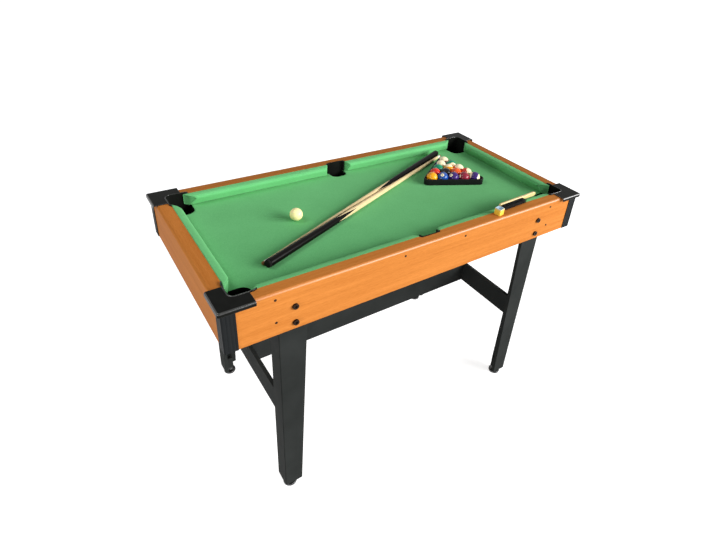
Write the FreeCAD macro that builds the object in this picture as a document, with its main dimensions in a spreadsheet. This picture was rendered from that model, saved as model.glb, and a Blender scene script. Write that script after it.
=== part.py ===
"""Four-foot billiard table with its cues, balls, rack, brush and chalk.

The origin is on the floor under the middle of the table. X runs along the table,
Y across it and Z up. A board for one side of the table is drawn at the front and
turned about Z to the side where it belongs.
"""
import FreeCAD, Part
import math
import os

import Sketcher
from FreeCAD import Placement, Rotation, Vector

doc = FreeCAD.newDocument("billiard_table")
sheet = doc.addObject("Spreadsheet::Sheet", "Dimensions")
nodes = []


# Sizes

class Size:
    """A number together with the sheet expression that gives it."""

    def __init__(self, value, text=None):
        self.value = float(value)
        self.text = text or repr(float(value))

    def __float__(self):
        return self.value

    def __add__(self, other):
        return combine(self, "+", other)

    def __radd__(self, other):
        return combine(other, "+", self)

    def __sub__(self, other):
        return combine(self, "-", other)

    def __rsub__(self, other):
        return combine(other, "-", self)

    def __mul__(self, other):
        return combine(self, "*", other)

    def __rmul__(self, other):
        return combine(other, "*", self)

    def __truediv__(self, other):
        return combine(self, "/", other)

    def __neg__(self):
        return combine(0, "-", self)


def combine(left, sign, right):
    """Join two sizes, or a size and a plain number, with one arithmetic sign."""
    a = left if isinstance(left, Size) else Size(left)
    b = right if isinstance(right, Size) else Size(right)
    results = {
        "+": a.value + b.value,
        "-": a.value - b.value,
        "*": a.value * b.value,
        "/": a.value / b.value if b.value else 0.0,
    }
    return Size(results[sign], f"({a.text} {sign} {b.text})")


def dimension(alias, number):
    """Write one driving dimension into the sheet and return it as a size."""
    row = str(dimension.row)
    dimension.row += 1
    sheet.set("A" + row, alias)
    sheet.set("B" + row, str(number))
    sheet.setAlias("B" + row, alias)
    return Size(number, "Dimensions." + alias)


dimension.row = 1

# The table as a whole
table_length = dimension("table_length", 1220)
table_width = dimension("table_width", 615)
table_height = dimension("table_height", 775)
board = dimension("board_thickness", 12)
gap = dimension("seat_gap", 0.3)

# Corner mouldings and posts
cap_overhang = dimension("cap_overhang", 10)
cap_arm = dimension("cap_arm", 88)
cap_width = dimension("cap_width", 46)
cap_plate = dimension("cap_plate", 2.5)
cap_lip = dimension("cap_lip", 12)
cap_round = dimension("cap_round", 5)
rim_rise = dimension("rim_rise", 1.5)
moulding_wall = dimension("moulding_wall", 2.4)
post_width = dimension("post_width", 34)
post_wall = dimension("post_wall", 2.4)

# Rails, aprons and bed
apron_drop = dimension("apron_drop", 129)
rail_width = dimension("rail_width", 36)
rail_thickness = dimension("rail_thickness", 15)
rail_round = dimension("rail_round", 7)
bed_drop = dimension("bed_drop", 34)
cloth = dimension("cloth_thickness", 0.8)
cleat_width = dimension("cleat_width", 15)
cleat_height = dimension("cleat_height", 46)

# Cushions and pockets
cushion_width = dimension("cushion_width", 24)
nose_height = dimension("nose_height", 24)
corner_jaw = dimension("corner_jaw", 117)
side_jaw = dimension("side_jaw", 44)
side_jaw_back = dimension("side_jaw_back", 33)
pocket_inset = dimension("pocket_inset", 77)
pocket_half = dimension("pocket_half", 34)
corner_back_round = dimension("corner_back_round", 14)
corner_side_round = dimension("corner_side_round", 16)
corner_mouth_round = dimension("corner_mouth_round", 26)
side_pocket_width = dimension("side_pocket_width", 58)
side_pocket_depth = dimension("side_pocket_depth", 44)
side_back_round = dimension("side_back_round", 10)
side_mouth_round = dimension("side_mouth_round", 22)
side_notch = dimension("side_notch", 8)
side_flare = dimension("side_flare", 7)
pocket_depth = dimension("pocket_depth", 76)
side_liner_reach = dimension("side_liner_reach", 6)
side_rim = dimension("side_rim", 1)
cushion_step = dimension("cushion_step", 0.5)
crown_inset = dimension("crown_inset", 8)
crown_drop = dimension("crown_drop", 3)
crown_round = dimension("crown_round", 5)
nose_round = dimension("nose_round", 1.5)
cushion_undercut = dimension("cushion_undercut", 9)

# Legs, feet and stretchers
leg_inset = dimension("leg_inset", 144)
leg_top_width = dimension("leg_top_width", 80)
leg_foot_width = dimension("leg_foot_width", 54)
leg_depth = dimension("leg_depth", 54)
leg_round = dimension("leg_round", 3)
foot_height = dimension("foot_height", 23)
foot_diameter = dimension("foot_diameter", 42)
foot_disc = dimension("foot_disc", 11)
stem_diameter = dimension("stem_diameter", 10)
foot_ease = dimension("foot_ease", 2)
foot_inset = dimension("foot_inset", 24)
stem_shortfall = dimension("stem_shortfall", 6)
block_height = dimension("block_height", 45)
stretcher_height = dimension("stretcher_height", 80)
stretcher_rise = dimension("stretcher_rise", 280)

# Fasteners
bolt_drop_upper = dimension("bolt_drop_upper", 60)
bolt_drop_lower = dimension("bolt_drop_lower", 109)
bolt_diameter = dimension("bolt_diameter", 8)
bolt_head = dimension("bolt_head", 16)
bolt_rise = dimension("bolt_rise", 5)
bolt_tail = dimension("bolt_tail", 10)
screw_diameter = dimension("screw_diameter", 3.5)
screw_head = dimension("screw_head", 7)
screw_length = dimension("screw_length", 22)
rail_screw_drop = dimension("rail_screw_drop", 5)
cleat_screw_drop = dimension("cleat_screw_drop", 40)
screw_past_leg = dimension("screw_past_leg", 9)

# Balls, rack, cues, brush and chalk
ball_diameter = dimension("ball_diameter", 38)
rack_slack = dimension("rack_slack", 1.5)
rack_wall = dimension("rack_wall", 3.2)
rack_corner_round = dimension("rack_corner_round", 16)
rack_height = dimension("rack_height", 22)
rack_ease = dimension("rack_ease", 0.8)
rack_from_end = dimension("rack_from_end", 257)
rack_from_cues = dimension("rack_from_cues", 118.2)
rack_skew = dimension("rack_skew", 12.5)
cue_ball_from_end = dimension("cue_ball_from_end", 334)
cue_ball_y = dimension("cue_ball_y", 24)
cue_length = dimension("cue_length", 930)
cue_butt_diameter = dimension("cue_butt_diameter", 23)
cue_tip_diameter = dimension("cue_tip_diameter", 10)
cue_bumper = dimension("cue_bumper", 6)
cue_ease = dimension("cue_ease", 2)
cue_end_room = dimension("cue_end_room", 29.5)
cue_x = dimension("cue_x", -7)
cue_y = dimension("cue_y", 30)
brush_length = dimension("brush_length", 172)
brush_back = dimension("brush_back", 8)
brush_height = dimension("brush_height", 15)
brush_end_round = dimension("brush_end_round", 3)
tuft_length = dimension("tuft_length", 104)
tuft_reach = dimension("tuft_reach", 19)
tuft_height = dimension("tuft_height", 13)
brush_from_end = dimension("brush_from_end", 314)
brush_from_face = dimension("brush_from_face", 44.5)
brush_turn = dimension("brush_turn", 3)
chalk_side = dimension("chalk_side", 22)
chalk_ease = dimension("chalk_ease", 1)
chalk_from_end = dimension("chalk_from_end", 344)
chalk_from_face = dimension("chalk_from_face", 21.5)
chalk_turn = dimension("chalk_turn", 10)

# Levels above the floor
rail_top = table_height - rim_rise - cap_plate
apron_foot = table_height - apron_drop
rail_foot = rail_top - rail_thickness
cloth_top = rail_top - bed_drop
bed_top = cloth_top - cloth
bed_foot = bed_top - board
leg_top = bed_foot

# Places seen from the middle of the table
end_face = table_length / 2 - cap_overhang
side_face = table_width / 2 - cap_overhang
leg_face_x = table_length / 2 - leg_inset
leg_face_y = side_face - board
leg_bolt_x = leg_face_x - leg_top_width / 2
stretcher_face = leg_face_x - board
nose_line = side_face - rail_width - cushion_width


# Building blocks

def bind(thing, prop, size):
    """Drive one property of an object from the sheet."""
    if isinstance(size, Size):
        thing.setExpression(prop, size.text)
    else:
        setattr(thing, prop, size)


def place(thing, x=0, y=0, z=0, turn=0, tilt=None):
    """Move a finished sub-part, with its position driven from the sheet."""
    spin = Rotation(Vector(0, 0, 1), float(turn))
    thing.Placement = Placement(Vector(float(x), float(y), float(z)), spin * (tilt or Rotation()))
    for axis, size in zip("xyz", (x, y, z)):
        if isinstance(size, Size):
            thing.setExpression("Placement.Base." + axis, size.text)


def origin_plane(body, role):
    """Find one of the three origin planes of a body."""
    return next(plane for plane in body.Origin.OriginFeatures if plane.Role == role)


def new_sketch(body, role):
    """Attach an empty sketch to an origin plane of its body."""
    sketch = body.newObject("Sketcher::SketchObject", body.Name + "_sketch")
    sketch.AttachmentSupport = (origin_plane(body, role), "")
    sketch.MapMode = "FlatFace"
    return sketch


def hold(sketch, kind, index, point, size):
    """Tie one coordinate of a sketch point to the origin by a driven distance."""
    number = sketch.addConstraint(Sketcher.Constraint(kind, -1, 1, index, point, float(size)))
    if isinstance(size, Size):
        sketch.setExpression(f"Constraints[{number}]", size.text)


def outline_sketch(body, role, points):
    """Draw a closed outline of straight lines whose corners are all driven."""
    sketch = new_sketch(body, role)
    corners = [Vector(float(x), float(y), 0) for x, y in points]
    for start, end in zip(corners, corners[1:] + corners[:1]):
        sketch.addGeometry(Part.LineSegment(start, end))
    for index in range(len(corners)):
        following = (index + 1) % len(corners)
        sketch.addConstraint(Sketcher.Constraint("Coincident", index, 2, following, 1))
    for index, (x, y) in enumerate(points):
        hold(sketch, "DistanceX", index, 1, x)
        hold(sketch, "DistanceY", index, 1, y)
    return sketch


def new_body(name):
    """Start a body that carries the sub-part's name."""
    body = doc.addObject("PartDesign::Body", name)
    body.Label = name
    return body


def pad(body, sketch, length, midplane=False, reverse=False):
    """Raise a sketch into a solid."""
    feature = body.newObject("PartDesign::Pad", body.Name + "_pad")
    feature.Profile = sketch
    feature.Midplane = midplane
    feature.Reversed = reverse
    bind(feature, "Length", length)
    doc.recompute()
    return feature


def cut_through(body, sketch):
    """Cut a sketch right through the body, both ways, and check that it removed something."""
    before = body.Shape.Volume
    feature = body.newObject("PartDesign::Pocket", body.Name + "_cut")
    feature.Profile = sketch
    feature.Type = "ThroughAll"
    feature.Midplane = True
    doc.recompute()
    if not body.Shape.Volume < before:
        raise RuntimeError(body.Name + ": a cut removed nothing")
    return feature


def edges_where(shape, test):
    """Name the edges whose middle point and direction pass a test."""
    names = []
    for number, edge in enumerate(shape.Edges, 1):
        middle = edge.valueAt((edge.FirstParameter + edge.LastParameter) / 2)
        along = edge.Vertexes[-1].Point - edge.Vertexes[0].Point
        if along.Length > 0 and test(middle, along.normalize()):
            names.append(f"Edge{number}")
    return names


def round_edges(body, test, radius, kind="PartDesign::Fillet"):
    """Round or chamfer the edges of a body that pass a test."""
    base = body.Tip
    names = edges_where(base.Shape, test)
    if not names:
        raise RuntimeError(body.Name + ": no edge to round")
    feature = body.newObject(kind, body.Name + "_edge")
    feature.Base = (base, names)
    bind(feature, "Radius" if kind.endswith("Fillet") else "Size", radius)
    doc.recompute()
    return feature


def turned(name, profile, sides):
    """A turned piece with flat sides: a ruled loft through regular polygons up its axis."""
    rings = []
    for radius, height in profile:
        ring = doc.addObject("Part::RegularPolygon", name + "_ring")
        ring.Polygon = sides
        bind(ring, "Circumradius", radius)
        place(ring, z=height)
        rings.append(ring)
    loft = doc.addObject("Part::Loft", name)
    loft.Label = name
    loft.Sections = rings
    loft.Solid = True
    loft.Ruled = True
    loft.Linearize = True
    return loft


def solid_feature(name, shape):
    """Keep a shape made by boolean work as one sub-part."""
    feature = doc.addObject("Part::Feature", name)
    feature.Label = name
    feature.Shape = shape
    return feature


def cut_with(name, base, tool):
    """Take a tool out of a base and name what is left."""
    cut = doc.addObject("Part::Cut", name)
    cut.Label = name
    cut.Base = base
    cut.Tool = tool
    return cut


def keep(thing):
    """Mark an object as a finished sub-part that is written out."""
    nodes.append(thing)
    return thing


# Pocket outlines

CORNER_RADII = (corner_back_round, corner_side_round, corner_mouth_round, corner_side_round)
SIDE_RADII = (side_back_round, side_back_round, side_mouth_round, side_mouth_round)


def rounded_outline(x0, x1, y0, y1, radii, z):
    """A rectangle whose corners have their own radii, from the one at x0, y0 and on round."""
    corners = ((x0, y0, 180), (x1, y0, 270), (x1, y1, 0), (x0, y1, 90))
    arcs = []
    for (x, y, start), radius in zip(corners, radii):
        centre = Vector(x + radius if x == x0 else x - radius, y + radius if y == y0 else y - radius, z)
        arcs.append(Part.makeCircle(radius, centre, Vector(0, 0, 1), start, start + 90))
    edges = []
    for arc, following in zip(arcs, arcs[1:] + arcs[:1]):
        edges.append(arc)
        edges.append(Part.LineSegment(arc.Vertexes[-1].Point, following.Vertexes[0].Point).toShape())
    return Part.Face(Part.Wire(edges))


def sawn_outline(x0, x1, y0, y1, radii, z, cuts=4):
    """The same rectangle with each corner sawn in straight cuts that just miss its arc."""
    corners = ((x0, y0, 180), (x1, y0, 270), (x1, y1, 0), (x0, y1, 90))
    points = []
    for (x, y, start), radius in zip(corners, radii):
        centre = Vector(x + radius if x == x0 else x - radius, y + radius if y == y0 else y - radius, z)
        reach = radius / math.cos(math.radians(45 / cuts))
        for cut in range(cuts):
            angle = math.radians(start + 90 * (cut + 0.5) / cuts)
            points.append(centre + Vector(reach * math.cos(angle), reach * math.sin(angle), 0))
    return Part.Face(Part.makePolygon(points + points[:1]))


def corner_void(spread, z0, z1, outline=rounded_outline):
    """The corner pocket's opening in its own frame, made wider all round by spread."""
    low = float(pocket_inset - pocket_half) - spread
    high = float(pocket_inset + pocket_half) + spread
    face = outline(low, high, low, high, [float(r) + spread for r in CORNER_RADII], float(z0))
    return face.extrude(Vector(0, 0, float(z1 - z0)))


def side_void(spread, z0, z1, outline=rounded_outline):
    """The side pocket's opening in its own frame, with the rail's inner face at y = 0."""
    half = float(side_pocket_width) / 2 + spread
    back = -float(side_notch) + float(gap + moulding_wall) - spread
    front = -float(side_notch) + float(gap + moulding_wall + side_pocket_depth) + spread
    face = outline(-half, half, back, front, [float(r) + spread for r in SIDE_RADII], float(z0))
    return face.extrude(Vector(0, 0, float(z1 - z0)))


def side_flange(spread, z0, z1):
    """The flared outline that fills the notch in the rail round a side pocket."""
    narrow = float(side_pocket_width / 2 + moulding_wall) + spread
    wide = narrow + float(side_flare)
    back = -float(side_notch - gap) - spread
    corners = [(-narrow, back), (narrow, back), (wide, spread / 3), (-wide, spread / 3), (-narrow, back)]
    face = Part.Face(Part.makePolygon([Vector(x, y, float(z0)) for x, y in corners]))
    return face.extrude(Vector(0, 0, float(z1 - z0)))


def corner_back(shape, slack):
    """Keep the half of a corner shape that lies towards the table's corner."""
    middle = float(pocket_inset)
    reach = 4 * middle
    height = float(table_height)
    tool = Part.makeBox(2 * reach, reach, 4 * height, Vector(-reach, 0, -height))
    tool.rotate(Vector(0, 0, 0), Vector(0, 0, 1), -45)
    tool.translate(Vector(middle + slack, middle, 0))
    return shape.cut(tool)


def side_back(shape, slack):
    """Keep the part of a side pocket shape that lies within the rail and the jaws."""
    reach = 4 * float(side_pocket_width)
    line = float(side_liner_reach) + slack
    height = float(table_height)
    tool = Part.makeBox(2 * reach, reach, 4 * height, Vector(-reach, line, -height))
    return shape.cut(tool)


def corner_places():
    """The four corners: name, X, Y and the turn about Z."""
    x = table_length / 2
    y = table_width / 2
    return (
        ("front_left", -x, -y, 0),
        ("front_right", x, -y, 90),
        ("back_right", x, y, 180),
        ("back_left", -x, y, 270),
    )


def moved(shape, x, y, turn):
    """A turned and shifted copy of a shape."""
    copy = shape.copy()
    copy.rotate(Vector(0, 0, 0), Vector(0, 0, 1), turn)
    copy.translate(Vector(float(x), float(y), 0))
    return copy


def pocket_clearance():
    """Room for all six pockets: slack round the whole cup in the bed, and behind the liner above."""
    slack = float(gap)
    wide = float(moulding_wall) + slack
    low = bed_foot - board
    high = table_height + board
    corner = corner_void(wide, low, bed_top, sawn_outline)
    corner = corner.fuse(corner_void(0, bed_top, high, sawn_outline))
    corner = corner.fuse(corner_back(corner_void(wide, low, high, sawn_outline), slack))
    side = side_void(wide, low, bed_top, sawn_outline)
    side = side.fuse(side_void(0, bed_top, high, sawn_outline))
    side = side.fuse(side_back(side_void(wide, low, high, sawn_outline), slack))
    side = side.fuse(side_flange(slack, bed_top, high))
    rail_line = side_face - rail_width
    tools = [moved(corner, x, y, turn) for _, x, y, turn in corner_places()]
    tools += [moved(side, 0, -rail_line, 0), moved(side, 0, rail_line, 180)]
    return solid_feature("pocket_clearance", Part.makeCompound(tools))


clearance = pocket_clearance()


# Fasteners

def screw_places():
    """Screws along a long apron: into the rail above and into the corner cleats below."""
    into_rail = rail_foot - rail_screw_drop
    into_cleat = bed_foot - cleat_screw_drop
    outer = leg_face_x + screw_past_leg
    inner = leg_bolt_x / 4
    return (
        (-outer, into_rail),
        (-inner, into_rail),
        (inner, into_rail),
        (outer, into_rail),
        (-outer, into_cleat),
        (outer, into_cleat),
    )


def many_sided(diameter, sides, start, length, flats=False):
    """A short-faceted rod along Z, measured over its corners or over its flats."""
    radius = float(diameter) / 2
    if flats:
        radius = radius / math.cos(math.pi / sides)
    corners = []
    for n in range(sides + 1):
        angle = 2 * math.pi * n / sides
        corners.append(Vector(radius * math.cos(angle), radius * math.sin(angle), float(start)))
    return Part.Face(Part.makePolygon(corners)).extrude(Vector(0, 0, float(length)))


def aimed(shape, x, y, z, direction):
    """Turn a shape made along Z to a direction and carry it to a point."""
    spin = Rotation(Vector(0, 0, 1), direction)
    shape.Placement = Placement(Vector(float(x), float(y), float(z)), spin)
    return shape


def screw(x, y, z, direction):
    """A round-headed wood screw whose head sits on the surface at the point."""
    rise = screw_head / 4
    head = many_sided(screw_head, 8, -rise, rise)
    shank = many_sided(screw_diameter, 6, 0, screw_length)
    return aimed(head.fuse(shank).removeSplitter(), x, y, z, direction)


def all_screws():
    """Every screw of the table: where its head sits and which way it points."""
    places = []
    for side in (-1, 1):
        for x, z in screw_places():
            places.append((x, side_face * side, z, Vector(0, -side, 0)))
        middle = stretcher_rise + stretcher_height / 2
        for lift in (-stretcher_height / 4, stretcher_height / 4):
            inner_face = (stretcher_face - board) * side
            places.append((inner_face, leg_end_y, middle + lift, Vector(side, 0, 0)))
            places.append((inner_face, -leg_end_y, middle + lift, Vector(side, 0, 0)))
            places.append((stretcher_face * side, 0, middle + lift, Vector(-side, 0, 0)))
    return places


def all_bolts():
    """The eight leg bolts: where the head sits and which way the bolt points."""
    places = []
    for side in (-1, 1):
        for x in (-leg_bolt_x, leg_bolt_x):
            for drop in (bolt_drop_upper, bolt_drop_lower):
                places.append((x, side_face * side, table_height - drop, Vector(0, -side, 0)))
    return places


leg_end_y = leg_face_y - board - leg_depth / 3
bolt_length = board * 2 + bolt_tail


def fastener_clearance():
    """The holes for every bolt and screw, one tool for all the boards."""
    tools = []
    sizes = ((screw_diameter, screw_length, all_screws()), (bolt_diameter, bolt_length, all_bolts()))
    for diameter, length, places in sizes:
        for place_of in places:
            hole = many_sided(diameter + gap, 6, -gap, length + gap * 2, flats=True)
            tools.append(aimed(hole, *place_of))
    return solid_feature("fastener_clearance", Part.makeCompound(tools))


holes = fastener_clearance()


def wood_screws():
    """All the round-headed screws of the aprons and stretchers."""
    screws = [screw(*place_of) for place_of in all_screws()]
    keep(solid_feature("wood_screws", Part.makeCompound(screws)))


def leg_bolts():
    """The socket-headed bolts that hold the legs."""
    bolts = []
    for place_of in all_bolts():
        head = many_sided(bolt_head, 16, -bolt_rise, bolt_rise)
        socket = many_sided(bolt_diameter, 6, -bolt_rise, bolt_rise * 0.6)
        shank = many_sided(bolt_diameter, 6, 0, bolt_length)
        bolts.append(aimed(head.cut(socket).fuse(shank).removeSplitter(), *place_of))
    keep(solid_feature("leg_bolts", Part.makeCompound(bolts)))


def leg_nuts():
    """The square nuts that the bolts draw up behind the legs."""
    nuts = []
    for place_of in all_bolts():
        nut = many_sided(bolt_diameter * 1.6, 4, board * 2, bolt_diameter * 0.7, flats=True)
        bore = many_sided(bolt_diameter + gap, 6, 0, bolt_length, flats=True)
        nuts.append(aimed(nut.cut(bore), *place_of))
    keep(solid_feature("leg_nuts", Part.makeCompound(nuts)))


wood_screws()
leg_bolts()
leg_nuts()


# Bed

def rectangle(x, y):
    """The corners of a rectangle centred on the origin."""
    return [(-x, -y), (x, -y), (x, y), (-x, y)]


def bed_board():
    """The playing bed: one board that drops in between the aprons onto the cleats."""
    body = new_body("bed_slab")
    outline = rectangle(end_face - board - gap, side_face - board - gap)
    pad(body, outline_sketch(body, "XY_Plane", outline), board)
    place(body, z=bed_foot)
    keep(cut_with("bed_board", body, clearance))


def bed_cloth():
    """The cloth, stretched over the bed and held under the cushions."""
    body = new_body("cloth_sheet")
    outline = rectangle(end_face - rail_width - gap, side_face - rail_width - gap)
    pad(body, outline_sketch(body, "XY_Plane", outline), cloth)
    place(body, z=bed_top)
    keep(cut_with("bed_cloth", body, clearance))


def batten(name, x, y, length, width):
    """One batten under the bed, placed by its corner nearest the front left."""
    box = doc.addObject("Part::Box", name + "_box")
    bind(box, "Length", length)
    bind(box, "Width", width)
    bind(box, "Height", cleat_height)
    place(box, x, y, bed_foot - cleat_height)
    keep(cut_with(name, box, holes))


def battens():
    """The battens round the bed: two long, two across and four short ones past the legs."""
    outside = side_face - board
    inside = outside - cleat_width
    end_out = end_face - board
    end_in = end_out - cleat_width
    between_legs = leg_face_x - leg_top_width - gap
    past_leg = leg_face_x + gap
    short = end_in - gap - past_leg
    batten("left_batten", -end_out, -outside, cleat_width, outside * 2)
    batten("right_batten", end_in, -outside, cleat_width, outside * 2)
    for side, y in (("front", -outside), ("back", inside)):
        batten(side + "_batten", -between_legs, y, between_legs * 2, cleat_width)
        batten(side + "_left_batten", -past_leg - short, y, short, cleat_width)
        batten(side + "_right_batten", past_leg, y, short, cleat_width)


bed_board()
bed_cloth()
battens()


# Rails and aprons

def side_offset(turn, distance):
    """X and Y of a point straight out from the middle towards the side at this turn."""
    return {
        0: (0, -distance),
        90: (distance, 0),
        180: (0, distance),
        270: (-distance, 0),
    }[turn]


def rail(name, half_length, face, turn, laps_ends=False):
    """A top rail: rounded outside, rebated over the apron, notched for the pockets.

    A rail that laps the ends has its inner part stopped at the end aprons.
    """
    body = new_body(name + "_moulding")
    outside = -face
    inside = -face + rail_width
    rebate = -face + board
    profile = [
        (outside, rail_foot),
        (outside, rail_top),
        (inside, rail_top),
        (inside, bed_top),
        (rebate, bed_top),
        (rebate, rail_foot),
    ]
    pad(body, outline_sketch(body, "YZ_Plane", profile), half_length * 2, midplane=True)
    outer_line, top = -float(face), float(rail_top)
    on_top = lambda p, d: abs(d.x) > 0.9 and abs(p.y - outer_line) < 0.01 and abs(p.z - top) < 0.01
    round_edges(body, on_top, rail_round)
    for end in (-1, 1) if laps_ends else ():
        start, stop = half_length * end, (half_length - board) * end
        step = [(start, rail_foot), (stop, rail_foot), (stop, bed_foot), (start, bed_foot)]
        cut_through(body, outline_sketch(body, "XZ_Plane", step))
    place(body, turn=turn)
    bored = cut_with(name + "_bored", body, holes)
    keep(cut_with(name, bored, clearance))


def apron(name, half_length, face, turn):
    """An apron board, drilled where it carries legs, cleats and the rail."""
    body = new_body(name + "_board")
    low, high = apron_foot, rail_foot
    outline = [(-half_length, low), (half_length, low), (half_length, high), (-half_length, high)]
    pad(body, outline_sketch(body, "XZ_Plane", outline), board)
    x, y = side_offset(turn, face - board)
    place(body, x, y, turn=turn)
    keep(cut_with(name, body, holes))


for turn, name in ((0, "front"), (180, "back")):
    rail(name + "_rail", end_face, side_face, turn, laps_ends=True)
    apron(name + "_apron", end_face, side_face, turn)
for turn, name in ((90, "right"), (270, "left")):
    rail(name + "_rail", side_face - rail_width, end_face, turn)
    apron(name + "_apron", side_face - board, end_face, turn)


# Cushions

def jaw_wedge(near, far, line, away):
    """The triangle that slants a cushion's end from its back at near to its nose at far."""
    nose = line + cushion_width
    run = (far - near) / 5
    rise = cushion_width / 5
    return [
        (near - run, line - rise),
        (far + run, nose + rise),
        (near + away, nose + rise),
    ]


def cushion(name, start, end, start_jaw, end_jaw, face, turn):
    """A cloth-covered cushion strip with slanted jaws, in the frame of its own side."""
    body = new_body(name + "_strip")
    line = -face + rail_width
    length = end - start
    profile = [
        (line + gap, cloth_top + gap),
        (line + gap, rail_top - cushion_step),
        (line + cushion_width - crown_inset, rail_top - crown_drop),
        (line + cushion_width, cloth_top + nose_height),
        (line + cushion_width - cushion_undercut, cloth_top + gap),
    ]
    pad(body, outline_sketch(body, "YZ_Plane", profile), length)
    crown = float(rail_top - crown_drop)
    nose = float(cloth_top + nose_height)
    round_edges(body, lambda p, d: abs(d.x) > 0.9 and abs(p.z - crown) < 0.01, crown_round)
    round_edges(body, lambda p, d: abs(d.x) > 0.9 and abs(p.z - nose) < 0.01, nose_round)
    cut_through(body, outline_sketch(body, "XY_Plane", jaw_wedge(0, start_jaw, line, -start_jaw)))
    cut_through(body, outline_sketch(body, "XY_Plane", jaw_wedge(length, length - end_jaw, line, end_jaw)))
    place(body, *start_point(turn, start), turn=turn)
    keep(cut_with(name, body, clearance))


def start_point(turn, start):
    """X and Y of a point along the side at this turn."""
    return {
        0: (start, 0),
        90: (0, start),
        180: (-start, 0),
        270: (0, -start),
    }[turn]


corner_run = cushion_width
side_run = side_jaw - side_jaw_back
long_reach = table_length / 2 - corner_jaw + corner_run
short_reach = table_width / 2 - corner_jaw + corner_run
cushion("front_left_cushion", -long_reach, -side_jaw_back, corner_run, side_run, side_face, 0)
cushion("front_right_cushion", side_jaw_back, long_reach, side_run, corner_run, side_face, 0)
cushion("back_right_cushion", -long_reach, -side_jaw_back, corner_run, side_run, side_face, 180)
cushion("back_left_cushion", side_jaw_back, long_reach, side_run, corner_run, side_face, 180)
cushion("right_cushion", -short_reach, short_reach, corner_run, corner_run, end_face, 90)
cushion("left_cushion", -short_reach, short_reach, corner_run, corner_run, end_face, 270)


# Pocket mouldings

def corner_moulding():
    """One corner moulding in its own frame: cap plate, rolled lip, liner and cup."""
    arm = float(cap_arm)
    width = float(cap_width)
    plate_top = rail_top + cap_plate
    lip_foot = plate_top - cap_lip
    corners = [(0, 0), (arm, 0), (arm, width), (width, width), (width, arm), (0, arm), (0, 0)]
    plan = Part.Face(Part.makePolygon([Vector(x, y, float(lip_foot)) for x, y in corners]))
    cap = plan.extrude(Vector(0, 0, float(cap_lip)))
    outer = float(cap_round)
    cap = cap.makeFillet(outer, outer_edges(cap, 0, float(plate_top)))
    wall = float(moulding_wall)
    start = float(lip_foot) - wall
    hollow = Part.makeBox(arm, arm, float(rail_top) - start, Vector(wall, wall, start))
    hollow = hollow.makeFillet(outer - wall, outer_edges(hollow, wall, float(rail_top)))
    cup_foot = cloth_top - pocket_depth - moulding_wall
    liner = corner_back(corner_void(wall, cup_foot, table_height), 0)
    cup = corner_void(wall, cup_foot, bed_top)
    inside = corner_void(0, cup_foot + moulding_wall, table_height + moulding_wall)
    return cap.cut(hollow).fuse([liner, cup]).cut(inside).removeSplitter()


def outer_edges(shape, offset, top):
    """The two top edges along the outside of a cap and the upright edge where they meet."""
    chosen = []
    for edge in shape.Edges:
        box = edge.BoundBox
        on_x = abs(box.XMin - offset) < 0.01 and abs(box.XMax - offset) < 0.01
        on_y = abs(box.YMin - offset) < 0.01 and abs(box.YMax - offset) < 0.01
        on_top = abs(box.ZMin - top) < 0.01 and abs(box.ZMax - top) < 0.01
        if (on_top and (on_x or on_y)) or (on_x and on_y):
            chosen.append(edge)
    return chosen


def side_moulding():
    """One side pocket in its own frame: ears that fill the notch, liner and cup."""
    wall = float(moulding_wall)
    cup_foot = cloth_top - pocket_depth - moulding_wall
    rim = rail_top + side_rim
    liner = side_back(side_void(wall, cup_foot, rim), 0)
    cup = side_void(wall, cup_foot, bed_top)
    inside = side_void(0, cup_foot + moulding_wall, rim + moulding_wall)
    flange = side_flange(0, rail_top - moulding_wall, rail_top)
    return liner.fuse([cup, flange]).cut(inside).removeSplitter()


def corner_pockets():
    """The four corner mouldings, each turned to its own corner."""
    shape = corner_moulding()
    for name, x, y, turn in corner_places():
        pocket = keep(solid_feature(name + "_pocket", shape.copy()))
        place(pocket, x, y, turn=turn)


def side_pockets():
    """The two side pocket mouldings."""
    shape = side_moulding()
    line = side_face - rail_width
    for name, y, turn in (("front_side_pocket", -line, 0), ("back_side_pocket", line, 180)):
        pocket = keep(solid_feature(name, shape.copy()))
        place(pocket, 0, y, turn=turn)


corner_pockets()
side_pockets()


def fluted_face():
    """One outer face of a post seen from above: a straight line with three shallow grooves."""
    flute = post_wall * 1.6
    points = []
    for step in (1, 2, 3):
        start = post_width * step / 4
        points.append((start, 0))
        points.append((start + flute / 3, post_wall / 3))
        points.append((start + flute * 2 / 3, post_wall / 3))
        points.append((start + flute, 0))
    return points


def corner_post(name, x, y, turn):
    """A fluted corner trim that wraps round the ends of two aprons."""
    body = new_body(name + "_post")
    inset = cap_overhang - post_wall
    face = fluted_face()
    outline = [(0, 0), *face, (post_width, 0), (post_width, post_wall), (post_wall, post_wall)]
    outline += [(post_wall, post_width), (0, post_width)] + [(v, u) for u, v in reversed(face)]
    seen_from_above = [(inset + u, inset + v) for u, v in outline]
    pad(body, outline_sketch(body, "XY_Plane", seen_from_above), rail_top - apron_foot - gap)
    corner = float(inset)
    at_corner = lambda p, d: abs(d.z) > 0.99 and abs(p.x - corner) + abs(p.y - corner) < 0.01
    round_edges(body, at_corner, post_wall * 2)
    place(body, x, y, apron_foot, turn)
    keep(body)


for spot in corner_places():
    corner_post(*spot)


# Legs, feet and stretchers

def leg_places():
    """The four legs: name, side along X and side along Y."""
    return (("front_left", -1, -1), ("front_right", 1, -1), ("back_right", 1, 1), ("back_left", -1, 1))


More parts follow.
